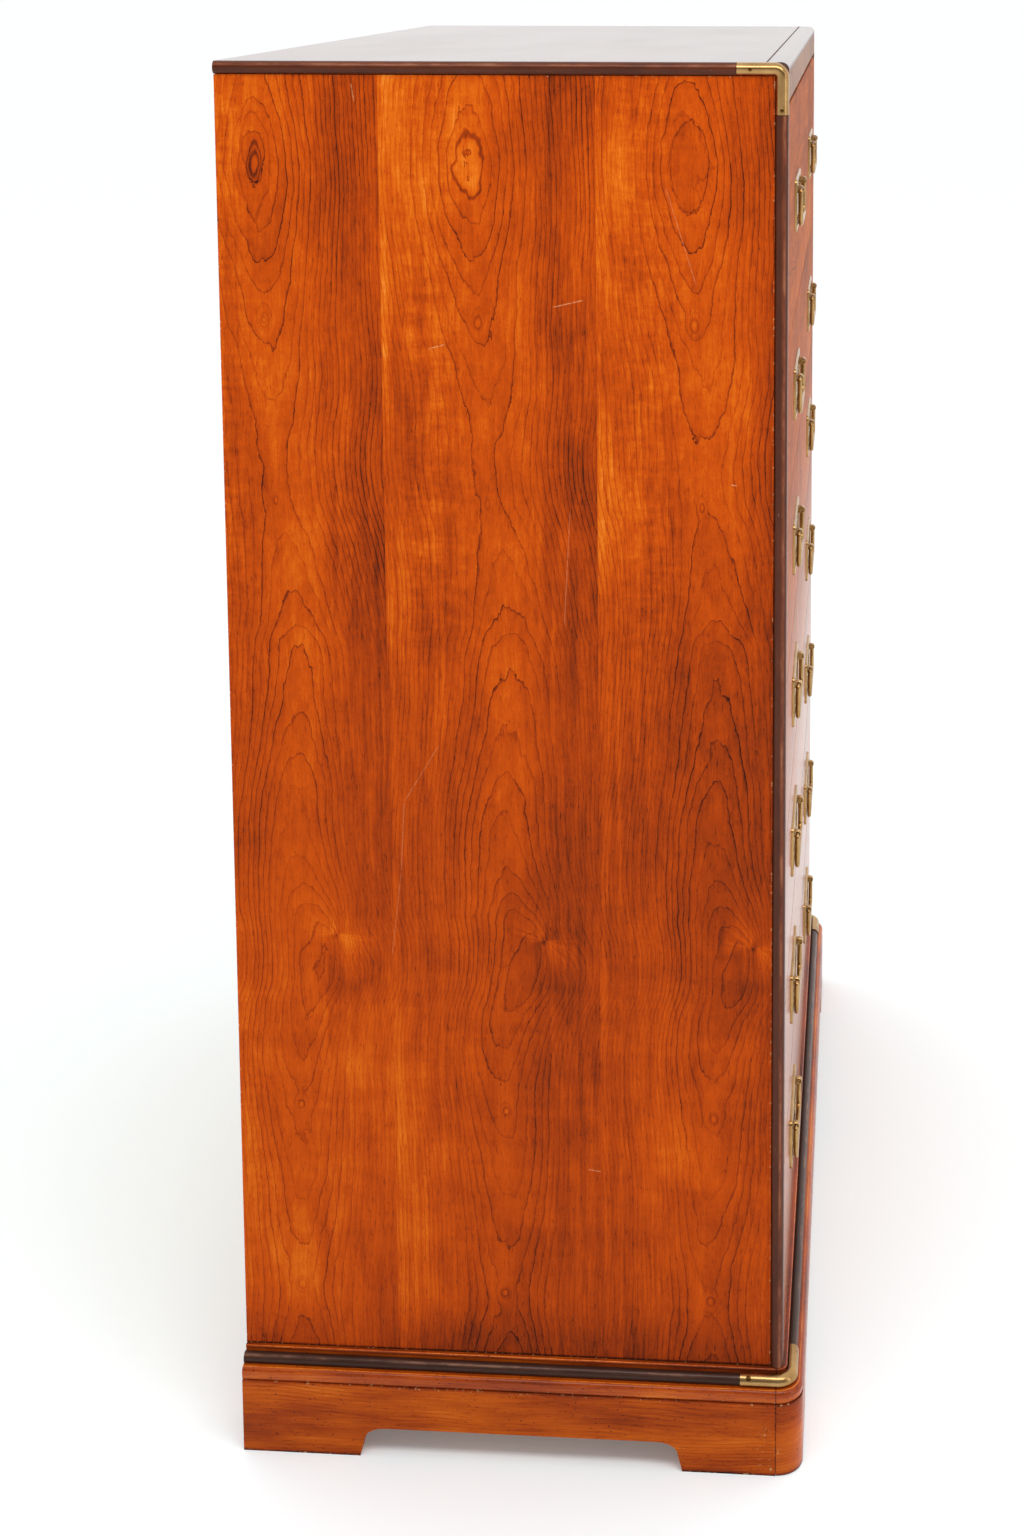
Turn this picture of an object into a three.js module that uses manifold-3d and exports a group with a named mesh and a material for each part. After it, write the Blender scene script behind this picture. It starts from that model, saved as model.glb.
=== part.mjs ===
// Campaign chest: seven drawers in a veneered carcass, on a plinth with shaped feet.
// Millimetres, +Z up. The front faces -Y, and the chest's left side is at -X.
// The origin is on the floor, under the middle of the plinth's footprint.

import * as THREE from 'three';
import { mergeVertices } from 'three/addons/utils/BufferGeometryUtils.js';
import Module from 'manifold-3d';

const wasm = await Module();
wasm.setup();

// Carcass
const carcassWidth = 1000;
const carcassDepth = 520;
const panelThickness = 18;
const backThickness = 6;
const backInset = 4;
const bottomThickness = 18;
const bottomRailHeight = 42;
const fit = 0.3;
const overrun = 2;

// Frieze and the band that it shows on the top
const friezeHeight = 34;
const friezeGap = 6.2;
const friezeEdgeRadius = 7;

// Half-round bead round the side panels, and the brass corners over it
const beadWidth = 12;
const beadCrown = 6;
const beadSeat = 4;
const beadProud = 4;
const bracketArm = 46.5;
const bracketCrown = 6.8;
const bracketInnerRadius = 0.9;

// Drawers
const frontThickness = 20;
const frontEase = 1.2;
const frontSideGap = 1.5;
const frontSeatGap = 0.5;
const seam = 2;
const topDrawerHeight = 216;
const lowDrawerHeight = 154.8;
const lowDrawerCount = 6;
const boxDepth = 456;
const boxWall = 12;
const boxFloor = 6;
const boxFloorRise = 8;
const boxSideGap = 2.5;
const boxHeadroom = 6.5;
const runnerRise = 2;
const runnerHeight = 12;
const runnerWidth = 14;
const runnerNose = 4;

// Pulls
const pullColumnShare = 0.52;
const plateWidth = 124;
const plateHeight = 52;
const plateThickness = 2.4;
const plateCornerRadius = 5;
const plateBevel = 0.7;
const wellRim = 5;
const wellDepth = 1.1;
const pivotStandoff = 3.3;
const pivotRise = 15;
const lugSpacing = 91.2;
const lugWidth = 6.2;
const lugRadius = 3.6;
const pinRadius = 1.8;
const pinClearance = 0.45;
const pinEndGap = 0.5;
const lugSideGap = 0.5;
const bailRadius = 2.5;
const bailDrop = 34;
const bailShoulderRadius = 2.8;
const bailCornerRadius = 9;
const bailSides = 8;

// Plinth and the moulding on it
const plinthHeight = 72.4;
const plinthProjection = 19;
const plinthThickness = 18;
const plinthCornerRadius = 25;
const footWidth = 114;
const frontFootWidth = 111;
const footLean = 4.5;
const footStraight = 17.5;
const archRise = 11.5;
const archRun = 20;
const mouldingHeight = 26.6;
const mouldingSeat = 5;
const grooveHeight = 2;
const grooveDepth = 1.6;
const upperLip = 2;
const upperLipDrop = 3.2;
const strandRadius = 5.6;
const strandOut = 7.2;
const strandRise = 16.6;
const lowerLipRadius = 5.2;
const baseBracketArm = 34.5;
const baseBracketThickness = 1;
const baseBracketGap = 0.2;

// Heights and places that follow from the sizes above
const carcassBottom = plinthHeight + mouldingHeight;
const lowestFront = carcassBottom + bottomRailHeight + seam;
const lowPitch = lowDrawerHeight + seam;
const topFront = lowestFront + lowDrawerCount * lowPitch;
const friezeBottom = topFront + topDrawerHeight + friezeGap;
const height = friezeBottom + friezeHeight;
const carcassFront = plinthProjection - (carcassDepth + plinthProjection) / 2;
const carcassBack = (carcassDepth + plinthProjection) / 2;
const frontsBack = carcassFront + frontThickness;
const backPanelFront = carcassBack - backInset - backThickness;
const halfWidth = carcassWidth / 2;
const bracketCornerRadius = beadWidth / 2 + bracketInnerRadius;
const beadInner = halfWidth + beadProud - beadCrown - beadSeat;
const panelInner = halfWidth - panelThickness;
const topUnderside = height - panelThickness;

const X = new THREE.Vector3(1, 0, 0);
const Y = new THREE.Vector3(0, 1, 0);
const Z = new THREE.Vector3(0, 0, 1);
const quarterTurn = Math.PI / 2;

const chest = new THREE.Group();
chest.name = 'campaign_chest';

const finishes = {
  cherry: { color: 0xb5521c, roughness: 0.32, metalness: 0 },
  darkWood: { color: 0x3a2019, roughness: 0.35, metalness: 0 },
  drawerWood: { color: 0xc9a878, roughness: 0.7, metalness: 0 },
  brass: { color: 0xb09256, roughness: 0.3, metalness: 1 },
};

function addPiece(name, geometry, finish) {
  const piece = new THREE.Mesh(geometry, new THREE.MeshStandardMaterial(finishes[finish]));
  piece.name = name;
  chest.add(piece);
}

// A closed outline from a list of [x, y] corners
function outline(corners) {
  return new THREE.Shape(corners.map(([x, y]) => new THREE.Vector2(x, y)));
}

// A shape drawn in (y, z), extruded along X
function alongX(shape, from, to, curveSegments = 6) {
  const geometry = new THREE.ExtrudeGeometry(shape, {
    depth: to - from,
    bevelEnabled: false,
    curveSegments,
  });
  geometry.applyMatrix4(new THREE.Matrix4().makeBasis(Y, Z, X));
  return geometry.translate(from, 0, 0);
}

// A shape drawn in (x, z), extruded along Y, with its edges eased by ease
function alongY(shape, from, to, ease = 0, curveSegments = 6) {
  const geometry = new THREE.ExtrudeGeometry(shape, {
    depth: to - from - 2 * ease,
    bevelEnabled: ease > 0,
    bevelThickness: ease,
    bevelSize: ease,
    bevelOffset: -ease,
    bevelSegments: 1,
    curveSegments,
  });
  geometry.applyMatrix4(new THREE.Matrix4().makeBasis(X, Z, Y.clone().negate()));
  return geometry.translate(0, to - ease, 0);
}

// A shape drawn in (x, y), extruded along Z
function alongZ(shape, from, to, curveSegments = 6) {
  const geometry = new THREE.ExtrudeGeometry(shape, {
    depth: to - from,
    bevelEnabled: false,
    curveSegments,
  });
  return geometry.translate(0, 0, from);
}

function block(x0, x1, y0, y1, z0, z1) {
  const geometry = new THREE.BoxGeometry(Math.abs(x1 - x0), y1 - y0, z1 - z0);
  return geometry.translate((x0 + x1) / 2, (y0 + y1) / 2, (z0 + z1) / 2);
}

function toSolid(geometry) {
  const bare = geometry.clone();
  bare.deleteAttribute('normal');
  bare.deleteAttribute('uv');
  const merged = mergeVertices(bare);
  return new wasm.Manifold(new wasm.Mesh({
    numProp: 3,
    vertProperties: new Float32Array(merged.attributes.position.array),
    triVerts: new Uint32Array(merged.index.array),
  }));
}

function toGeometry(solid) {
  const mesh = solid.getMesh();
  const geometry = new THREE.BufferGeometry();
  geometry.setAttribute('position', new THREE.BufferAttribute(mesh.vertProperties, 3));
  geometry.setIndex(new THREE.BufferAttribute(mesh.triVerts, 1));
  geometry.computeVertexNormals();
  return geometry;
}

// Six times the volume that the triangles enclose: negative when they face inwards
function signedVolume(positions, index) {
  let sum = 0;
  const corner = (i) => new THREE.Vector3().fromArray(positions, 3 * index[i]);
  for (let i = 0; i < index.length; i += 3) {
    sum += corner(i).dot(corner(i + 1).cross(corner(i + 2)));
  }
  return sum;
}

// A closed profile carried along stations. Each station has a place, the direction of
// the profile's x and of its y, and a scale for the profile there.
function carry(profile, stations) {
  const count = profile.length;
  const positions = [];
  for (const { at, across, up, scale = 1 } of stations) {
    for (const point of profile) {
      const place = at.clone();
      place.addScaledVector(across, point.x * scale);
      place.addScaledVector(up, point.y * scale);
      positions.push(place.x, place.y, place.z);
    }
  }
  const index = [];
  for (let s = 0; s + 1 < stations.length; s += 1) {
    for (let i = 0; i < count; i += 1) {
      const near = s * count + i;
      const next = s * count + ((i + 1) % count);
      index.push(near, next, next + count, near, next + count, near + count);
    }
  }
  const last = (stations.length - 1) * count;
  for (const [a, b, c] of THREE.ShapeUtils.triangulateShape(profile, [])) {
    index.push(c, b, a, last + a, last + b, last + c);
  }
  if (signedVolume(positions, index) < 0) {
    index.reverse();
  }
  const geometry = new THREE.BufferGeometry();
  geometry.setAttribute('position', new THREE.Float32BufferAttribute(positions, 3));
  geometry.setIndex(index);
  geometry.computeVertexNormals();
  return geometry;
}

// Points on an arc of an ellipse, from one angle to another
function arc(centreX, centreY, radiusX, radiusY, from, to, steps) {
  const points = [];
  for (let i = 0; i <= steps; i += 1) {
    const angle = from + ((to - from) * i) / steps;
    const x = centreX + radiusX * Math.cos(angle);
    points.push(new THREE.Vector2(x, centreY + radiusY * Math.sin(angle)));
  }
  return points;
}

function drawerLevels() {
  const levels = [{ bottom: topFront, tall: topDrawerHeight }];
  for (let i = lowDrawerCount - 1; i >= 0; i -= 1) {
    levels.push({ bottom: lowestFront + i * lowPitch, tall: lowDrawerHeight });
  }
  return levels;
}

// Side panel: a veneered board, rebated for the bead and notched behind the drawer
// fronts, with a hardwood runner under each drawer.
function sidePanel(side) {
  const front = carcassFront + beadWidth + fit;
  const section = outline([
    [side * halfWidth, carcassBottom],
    [side * halfWidth, height - beadWidth - fit],
    [side * beadInner, height - beadWidth - fit],
    [side * beadInner, topUnderside - fit],
    [side * panelInner, topUnderside - fit],
    [side * panelInner, carcassBottom],
  ]);
  const innermost = panelInner - overrun;
  const notchBack = frontsBack + frontSeatGap;
  const bottom = carcassBottom - overrun;
  const notch = block(
    side * beadInner, side * innermost, front - overrun, notchBack, bottom, height);
  let panel = toSolid(alongY(section, front, carcassBack)).subtract(toSolid(notch));
  for (const level of drawerLevels()) {
    panel = panel.add(toSolid(runner(side, level.bottom + runnerRise)));
  }
  return toGeometry(panel);
}

function runner(side, bottom) {
  const inner = panelInner - runnerWidth;
  const top = bottom + runnerHeight;
  const shape = outline([
    [side * (panelInner + overrun), bottom],
    [side * (inner + runnerNose), bottom],
    [side * inner, bottom + runnerNose],
    [side * inner, top],
    [side * (panelInner + overrun), top],
  ]);
  return alongY(shape, frontsBack + frontSeatGap, backPanelFront - fit);
}

function backPanel() {
  const edge = panelInner - fit;
  const shape = outline([
    [-edge, carcassBottom],
    [edge, carcassBottom],
    [edge, topUnderside - fit],
    [-edge, topUnderside - fit],
  ]);
  return alongY(shape, backPanelFront, backPanelFront + backThickness);
}

function topPanel() {
  const edge = beadInner - fit;
  const shape = outline([
    [frontsBack + fit, topUnderside],
    [carcassBack, topUnderside],
    [carcassBack, height],
    [frontsBack + fit, height],
  ]);
  return alongX(shape, -edge, edge);
}

// Frieze: the board above the drawers. Its rounded top edge shows as a band on the top.
function friezeRail() {
  const shape = new THREE.Shape();
  shape.moveTo(carcassFront, friezeBottom);
  shape.lineTo(frontsBack, friezeBottom);
  shape.lineTo(frontsBack, height);
  shape.lineTo(carcassFront + friezeEdgeRadius, height);
  const centreY = carcassFront + friezeEdgeRadius;
  const centreZ = height - friezeEdgeRadius;
  shape.absarc(centreY, centreZ, friezeEdgeRadius, quarterTurn, 2 * quarterTurn, false);
  const edge = beadInner - fit;
  return alongX(shape, -edge, edge);
}

// Rail that shows below the lowest drawer
function bottomRail() {
  const edge = beadInner - fit;
  const shape = outline([
    [carcassFront, carcassBottom],
    [frontsBack, carcassBottom],
    [frontsBack, carcassBottom + bottomRailHeight],
    [carcassFront, carcassBottom + bottomRailHeight],
  ]);
  return alongX(shape, -edge, edge);
}

function bottomPanel() {
  const edge = panelInner - fit;
  const top = carcassBottom + bottomThickness;
  const front = frontsBack + fit;
  const back = backPanelFront - fit;
  const shape = outline([
    [front, carcassBottom],
    [back, carcassBottom],
    [back, top],
    [front, top],
  ]);
  return alongX(shape, -edge, edge);
}

// Half-round section: x across the bead, y out from the side of the chest
function halfRound(crown) {
  const half = beadWidth / 2;
  const profile = arc(0, 0, half, crown, 0, 2 * quarterTurn, 8);
  profile.push(new THREE.Vector2(-half, -beadSeat), new THREE.Vector2(half, -beadSeat));
  return profile;
}

function topBead(side) {
  const up = X.clone().multiplyScalar(side);
  const from = carcassFront + bracketArm + fit;
  const stations = [from, carcassBack].map((y) => ({
    at: new THREE.Vector3(side * (beadInner + beadSeat), y, height - beadWidth / 2),
    across: Z,
    up,
  }));
  return carry(halfRound(beadCrown), stations);
}

function cornerBead(side) {
  const up = X.clone().multiplyScalar(side);
  const top = height - bracketArm - fit;
  const stations = [carcassBottom + fit, top].map((z) => ({
    at: new THREE.Vector3(side * (beadInner + beadSeat), carcassFront + beadWidth / 2, z),
    across: Y,
    up,
  }));
  return carry(halfRound(beadCrown), stations);
}

// Brass corner: the bead's own section, cast in brass, turned round the top corner
function cornerBracket(side) {
  const up = X.clone().multiplyScalar(side);
  const out = side * (beadInner + beadSeat);
  const runZ = height - beadWidth / 2;
  const runY = carcassFront + beadWidth / 2;
  const centreY = runY + bracketCornerRadius;
  const centreZ = runZ - bracketCornerRadius;
  const steps = 8;
  const stations = [{
    at: new THREE.Vector3(out, carcassFront + bracketArm, runZ), across: Z, up,
  }];
  for (let i = 0; i <= steps; i += 1) {
    const angle = quarterTurn + (quarterTurn * i) / steps;
    const across = new THREE.Vector3(0, Math.cos(angle), Math.sin(angle));
    const at = new THREE.Vector3(out, centreY, centreZ);
    at.addScaledVector(across, bracketCornerRadius);
    stations.push({ at, across, up });
  }
  stations.push({
    at: new THREE.Vector3(out, runY, height - bracketArm),
    across: Y.clone().negate(),
    up,
  });
  return carry(halfRound(bracketCrown), stations);
}

// Stations round one front corner of the carcass, from the side to the front. The
// profile's x is measured out from the carcass and its y up from the plinth.
function cornerStations(side, steps) {
  const radius = plinthCornerRadius - plinthProjection;
  const stations = [];
  for (let i = 0; i <= steps; i += 1) {
    const angle = (quarterTurn * i) / steps;
    const across = new THREE.Vector3(side * Math.cos(angle), -Math.sin(angle), 0);
    const at = new THREE.Vector3(
      side * (halfWidth - radius), carcassFront + radius, plinthHeight);
    at.addScaledVector(across, radius);
    stations.push({ at, across, up: Z });
  }
  return stations;
}

// Base moulding: a thin lip, a half-round strand on the bevel, a broad rounded lip and
// a groove over the plinth, carried round three sides with rounded corners.
function baseMoulding() {
  const lipOut = plinthProjection - lowerLipRadius;
  const strandSpread = strandRadius * Math.SQRT1_2;
  const lipTop = strandRise - strandSpread;
  const eighth = quarterTurn / 2;
  const profile = [
    new THREE.Vector2(-mouldingSeat, 0),
    new THREE.Vector2(plinthProjection - grooveDepth, 0),
    new THREE.Vector2(plinthProjection - grooveDepth, grooveHeight),
    new THREE.Vector2(plinthProjection, grooveHeight),
    ...arc(lipOut, lipTop - lowerLipRadius, lowerLipRadius, lowerLipRadius, 0, quarterTurn, 5),
    ...arc(strandOut, strandRise, strandRadius, strandRadius, -eighth, 3 * eighth, 8),
    new THREE.Vector2(strandOut - strandSpread, mouldingHeight - upperLipDrop / 2),
    new THREE.Vector2(upperLip, mouldingHeight - fit),
    new THREE.Vector2(-mouldingSeat, mouldingHeight - fit),
  ];
  const end = (side) => ({
    at: new THREE.Vector3(side * halfWidth, carcassBack, plinthHeight),
    across: X.clone().multiplyScalar(side),
    up: Z,
  });
  const right = cornerStations(1, 6).reverse();
  return carry(profile, [end(-1), ...cornerStations(-1, 6), ...right, end(1)]);
}

// Brass corner over the strand of the base moulding
function baseBracket(side) {
  const inner = strandRadius + baseBracketGap;
  const outer = inner + baseBracketThickness;
  const from = -quarterTurn / 5;
  const to = quarterTurn * 1.2;
  const profile = [
    ...arc(strandOut, strandRise, outer, outer, from, to, 6),
    ...arc(strandOut, strandRise, inner, inner, to, from, 6),
  ];
  const radius = plinthCornerRadius - plinthProjection;
  const sideEnd = {
    at: new THREE.Vector3(
      side * halfWidth, carcassFront + radius + baseBracketArm, plinthHeight),
    across: X.clone().multiplyScalar(side),
    up: Z,
  };
  const frontEnd = {
    at: new THREE.Vector3(
      side * (halfWidth - radius - baseBracketArm), carcassFront, plinthHeight),
    across: Y.clone().negate(),
    up: Z,
  };
  return carry(profile, [sideEnd, ...cornerStations(side, 6), frontEnd]);
}

// Half of the outline under a plinth board, from one foot's inner corner up to the
// middle: a leaning straight, then a quarter of an ellipse.
function archPoints(foot, towards) {
  const start = foot + towards * footLean;
  const points = [new THREE.Vector2(foot, 0), new THREE.Vector2(start, footStraight)];
  for (const point of arc(0, 0, archRun, archRise, 2 * quarterTurn, quarterTurn, 5).slice(1)) {
    const along = start + towards * (archRun + point.x);
    points.push(new THREE.Vector2(along, footStraight + point.y));
  }
  return points;
}

// A plinth board drawn along its length, with a foot at each end
function footedBoard(from, to, firstFoot, lastFoot) {
  const rising = archPoints(firstFoot, 1);
  const falling = archPoints(lastFoot, -1).reverse();
  const top = plinthHeight - fit;
  return new THREE.Shape([
    new THREE.Vector2(from, 0),
    ...rising,
    ...falling,
    new THREE.Vector2(to, 0),
    new THREE.Vector2(to, top),
    new THREE.Vector2(from, top),
  ]);
}

function plinthSide(side) {
  const front = carcassFront - plinthProjection;
  const joint = front + plinthCornerRadius + fit;
  const shape = footedBoard(joint, carcassBack, front + footWidth, carcassBack - footWidth);
  const outer = side * (halfWidth + plinthProjection);
  const inner = outer - side * plinthThickness;
  return toSolid(alongX(shape, Math.min(outer, inner), Math.max(outer, inner)));
}

// The plinth's two side boards and its back rail, glued up at the rear corners. The
// back rail rises to the carcass between the ends of the moulding, which runs round
// three sides only.
function plinthFrame() {
  const edge = halfWidth + plinthProjection - plinthThickness + overrun;
  const foot = halfWidth + plinthProjection - footWidth;
  const board = footedBoard(-edge, edge, -foot, foot);
  const upstandEdge = halfWidth - mouldingSeat - fit;
  const upstand = outline([
    [-upstandEdge, plinthHeight - overrun],
    [upstandEdge, plinthHeight - overrun],
    [upstandEdge, carcassBottom - fit],
    [-upstandEdge, carcassBottom - fit],
  ]);
  const inner = carcassBack - plinthThickness;
  const back = toSolid(alongY(board, inner, carcassBack));
  const rail = back.add(toSolid(alongY(upstand, inner, carcassBack)));
  return toGeometry(rail.add(plinthSide(-1)).add(plinthSide(1)));
}

// Front plinth board, with the rounded corner blocks that its ends are worked into
function plinthFront() {
  const outer = halfWidth + plinthProjection;
  const front = carcassFront - plinthProjection;
  const joint = front + plinthCornerRadius;
  const bend = outer - plinthCornerRadius;
  const plan = new THREE.Shape();
  plan.moveTo(-bend, front);
  plan.lineTo(bend, front);
  plan.absarc(bend, joint, plinthCornerRadius, -quarterTurn, 0, false);
  plan.lineTo(outer - plinthThickness, joint);
  plan.lineTo(bend, front + plinthThickness);
  plan.lineTo(-bend, front + plinthThickness);
  plan.lineTo(plinthThickness - outer, joint);
  plan.lineTo(-outer, joint);
  plan.absarc(-bend, joint, plinthCornerRadius, 2 * quarterTurn, 3 * quarterTurn, false);
  const board = toSolid(alongZ(plan, 0, plinthHeight - fit));
  const foot = outer - frontFootWidth;
  const opening = new THREE.Shape([
    new THREE.Vector2(-foot, -overrun),
    ...archPoints(-foot, 1),
    ...archPoints(foot, -1).reverse(),
    new THREE.Vector2(foot, -overrun),
  ]);
  const cut = alongY(opening, front - overrun, front + plinthThickness + overrun);
  return toGeometry(board.subtract(toSolid(cut)));
}

function drawerFront(level) {
  const edge = beadInner - frontSideGap;
  const shape = outline([
    [-edge, level.bottom],
    [edge, level.bottom],
    [edge, level.bottom + level.tall],
    [-edge, level.bottom + level.tall],
  ]);
  return alongY(shape, carcassFront, frontsBack, frontEase);
}

// Drawer box: four walls with the floor let into them, open at the top
function drawerBox(level) {
  const edge = panelInner - boxSideGap;
  const bottom = level.bottom + runnerRise + runnerHeight + fit;
  const top = level.bottom + level.tall - boxHeadroom;
  const back = frontsBack + boxDepth;
  const inside = edge - boxWall;
  const insideFront = frontsBack + boxWall;
  const insideBack = back - boxWall;
  const floorUnderside = bottom + boxFloorRise;
  const floorTop = floorUnderside + boxFloor;
  const shell = toSolid(block(-edge, edge, frontsBack, back, bottom, top));
  const room = block(-inside, inside, insideFront, insideBack, floorTop, top + overrun);
  const underneath = block(
    -inside, inside, insideFront, insideBack, bottom - overrun, floorUnderside);
  return toGeometry(shell.subtract(toSolid(room)).subtract(toSolid(underneath)));
}

function roundedRectangle(width, tall, radius, centreX, centreZ) {
  const right = centreX + width / 2 - radius;
  const left = centreX - width / 2 + radius;
  const upper = centreZ + tall / 2 - radius;
  const lower = centreZ - tall / 2 + radius;
  const shape = new THREE.Shape();
  shape.moveTo(left, lower - radius);
  shape.lineTo(right, lower - radius);
  shape.absarc(right, lower, radius, -quarterTurn, 0, false);
  shape.absarc(right, upper, radius, 0, quarterTurn, false);
  shape.absarc(left, upper, radius, quarterTurn, 2 * quarterTurn, false);
  shape.absarc(left, lower, radius, 2 * quarterTurn, 3 * quarterTurn, false);
  return shape;
}

const plateFace = carcassFront - plateThickness;
const pivotY = plateFace - pivotStandoff;

// One of the two ears that the bail turns in
function lug(centreX, pivotZ) {
  const shape = new THREE.Shape();
  const root = plateFace + wellDepth + plateBevel;
  shape.moveTo(root, pivotZ - lugRadius);
  shape.lineTo(root, pivotZ + lugRadius);
  shape.lineTo(pivotY, pivotZ + lugRadius);
  shape.absarc(pivotY, pivotZ, lugRadius, quarterTurn, 3 * quarterTurn, false);
  const hole = new THREE.Path();
  hole.absarc(pivotY, pivotZ, pinRadius + pinClearance, 0, 4 * quarterTurn, true);
  shape.holes.push(hole);
  return alongX(shape, centreX - lugWidth / 2, centreX + lugWidth / 2, 5);
}

// Back plate with a shallow well and two ears
function pullPlate(centreX, centreZ) {
  const plan = roundedRectangle(plateWidth, plateHeight, plateCornerRadius, centreX, centreZ);
  const plate = alongY(plan, plateFace, carcassFront, plateBevel, 3);
  const wellPlan = roundedRectangle(
    plateWidth - 2 * wellRim,
    plateHeight - 2 * wellRim,
    plateCornerRadius,
    centreX,
    centreZ,
  );
  const well = alongY(wellPlan, plateFace - overrun, plateFace + wellDepth, 0, 3);
  let solid = toSolid(plate).subtract(toSolid(well));
  for (const side of [-1, 1]) {
    const ear = lug(centreX + (side * lugSpacing) / 2, centreZ + pivotRise);
    solid = solid.add(toSolid(ear));
  }
  return toGeometry(solid);
}

// Bail: a rod bent to a square loop, its ends turned inwards as pins in the ears
function pullBail(centreX, centreZ) {
  const pivot = new THREE.Vector3(centreX, pivotY, centreZ + pivotRise);
  const pinEnd = lugSpacing / 2 - lugWidth / 2 + pinEndGap;
  const shoulder = lugSpacing / 2 + lugWidth / 2 + lugSideGap;
  const arm = shoulder + bailShoulderRadius;
  const pinScale = pinRadius / bailRadius;
  const half = [
    { x: pinEnd, z: 0, turn: 0, scale: pinScale },
    { x: shoulder, z: 0, turn: 0, scale: pinScale },
  ];
  const bends = 3;
  for (let i = 1; i <= bends; i += 1) {
    const turn = (quarterTurn * i) / bends;
    half.push({
      x: shoulder + bailShoulderRadius * Math.sin(turn),
      z: bailShoulderRadius * (Math.cos(turn) - 1),
      turn,
      scale: pinScale + ((1 - pinScale) * i) / bends,
    });
  }
  for (let i = 0; i <= bends; i += 1) {
    const turn = (quarterTurn * i) / bends;
    half.push({
      x: arm - bailCornerRadius * (1 - Math.cos(turn)),
      z: bailCornerRadius * (1 - Math.sin(turn)) - bailDrop,
      turn: quarterTurn + turn,
      scale: 1,
    });
  }
  const station = ({ x, z, turn, scale }, side) => ({
    at: new THREE.Vector3(pivot.x + side * x, pivot.y, pivot.z + z),
    across: new THREE.Vector3(side * Math.sin(turn), 0, Math.cos(turn)),
    up: Y.clone().multiplyScalar(side),
    scale,
  });
  const right = half.map((spot) => station(spot, 1));
  const left = half.map((spot) => {
    const mirrored = station(spot, -1);
    return { ...mirrored, across: mirrored.across.negate() };
  });
  const profile = arc(0, 0, bailRadius, bailRadius, 0, 4 * quarterTurn, bailSides).slice(1);
  return carry(profile, [...right, ...left.reverse()]);
}

const sides = [['left', -1], ['right', 1]];

for (const [label, side] of sides) {
  addPiece(`side_panel_${label}`, sidePanel(side), 'cherry');
  addPiece(`top_bead_${label}`, topBead(side), 'darkWood');
  addPiece(`corner_bead_${label}`, cornerBead(side), 'darkWood');
  addPiece(`corner_bracket_${label}`, cornerBracket(side), 'brass');
  addPiece(`base_bracket_${label}`, baseBracket(side), 'brass');
}
addPiece('top_panel', topPanel(), 'cherry');
addPiece('frieze_rail', friezeRail(), 'cherry');
addPiece('bottom_rail', bottomRail(), 'cherry');
addPiece('bottom_panel', bottomPanel(), 'drawerWood');
addPiece('back_panel', backPanel(), 'drawerWood');
addPiece('base_moulding', baseMoulding(), 'cherry');
addPiece('plinth_front', plinthFront(), 'cherry');
addPiece('plinth_frame', plinthFrame(), 'cherry');

drawerLevels().forEach((level, place) => {
  const number = place + 1;
  addPiece(`drawer_front_${number}`, drawerFront(level), 'cherry');
  addPiece(`drawer_box_${number}`, drawerBox(level), 'drawerWood');
  for (const [label, side] of sides) {
    const centreX = (side * pullColumnShare * carcassWidth) / 2;
    const centreZ = level.bottom + level.tall / 2;
    addPiece(`pull_plate_${number}_${label}`, pullPlate(centreX, centreZ), 'brass');
    addPiece(`pull_bail_${number}_${label}`, pullBail(centreX, centreZ), 'brass');
  }
});

export default chest;
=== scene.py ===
import math
import bmesh
import bpy
import numpy as np
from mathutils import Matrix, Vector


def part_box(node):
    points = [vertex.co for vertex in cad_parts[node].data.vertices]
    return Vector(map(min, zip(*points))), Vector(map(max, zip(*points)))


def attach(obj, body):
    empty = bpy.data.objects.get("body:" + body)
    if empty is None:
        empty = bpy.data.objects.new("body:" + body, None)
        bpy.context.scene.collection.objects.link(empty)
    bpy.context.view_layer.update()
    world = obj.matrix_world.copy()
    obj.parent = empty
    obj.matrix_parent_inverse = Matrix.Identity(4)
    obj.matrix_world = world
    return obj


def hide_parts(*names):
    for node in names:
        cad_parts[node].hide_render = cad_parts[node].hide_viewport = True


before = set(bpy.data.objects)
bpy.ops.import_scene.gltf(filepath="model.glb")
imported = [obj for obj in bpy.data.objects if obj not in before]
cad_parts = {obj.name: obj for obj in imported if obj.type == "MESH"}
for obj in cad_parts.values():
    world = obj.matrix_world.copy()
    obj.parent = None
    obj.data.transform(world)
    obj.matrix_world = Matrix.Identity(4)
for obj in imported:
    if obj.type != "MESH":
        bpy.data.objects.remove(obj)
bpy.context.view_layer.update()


# Studio floor, light and camera
# A pale floor that runs far past the chest, a white surround that is dimmer on the camera's side, a
# long soft light above and a narrow one standing in front. The camera looks along the chest's left
# side from near its front.

FLOOR_REACH = 220.0
# The floor's paint by the chest, cooler there to offset the warm light the wood throws on it, and far
# from it
NEAR_TINT = (0.905, 0.982, 1.0, 1)
FAR_TINT = (0.955, 0.962, 0.970, 1)
# How far the camera is tipped down, and turned left from looking along X, in radians
CAMERA_TIP = 0.1196
CAMERA_TURN = 0.0724


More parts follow.
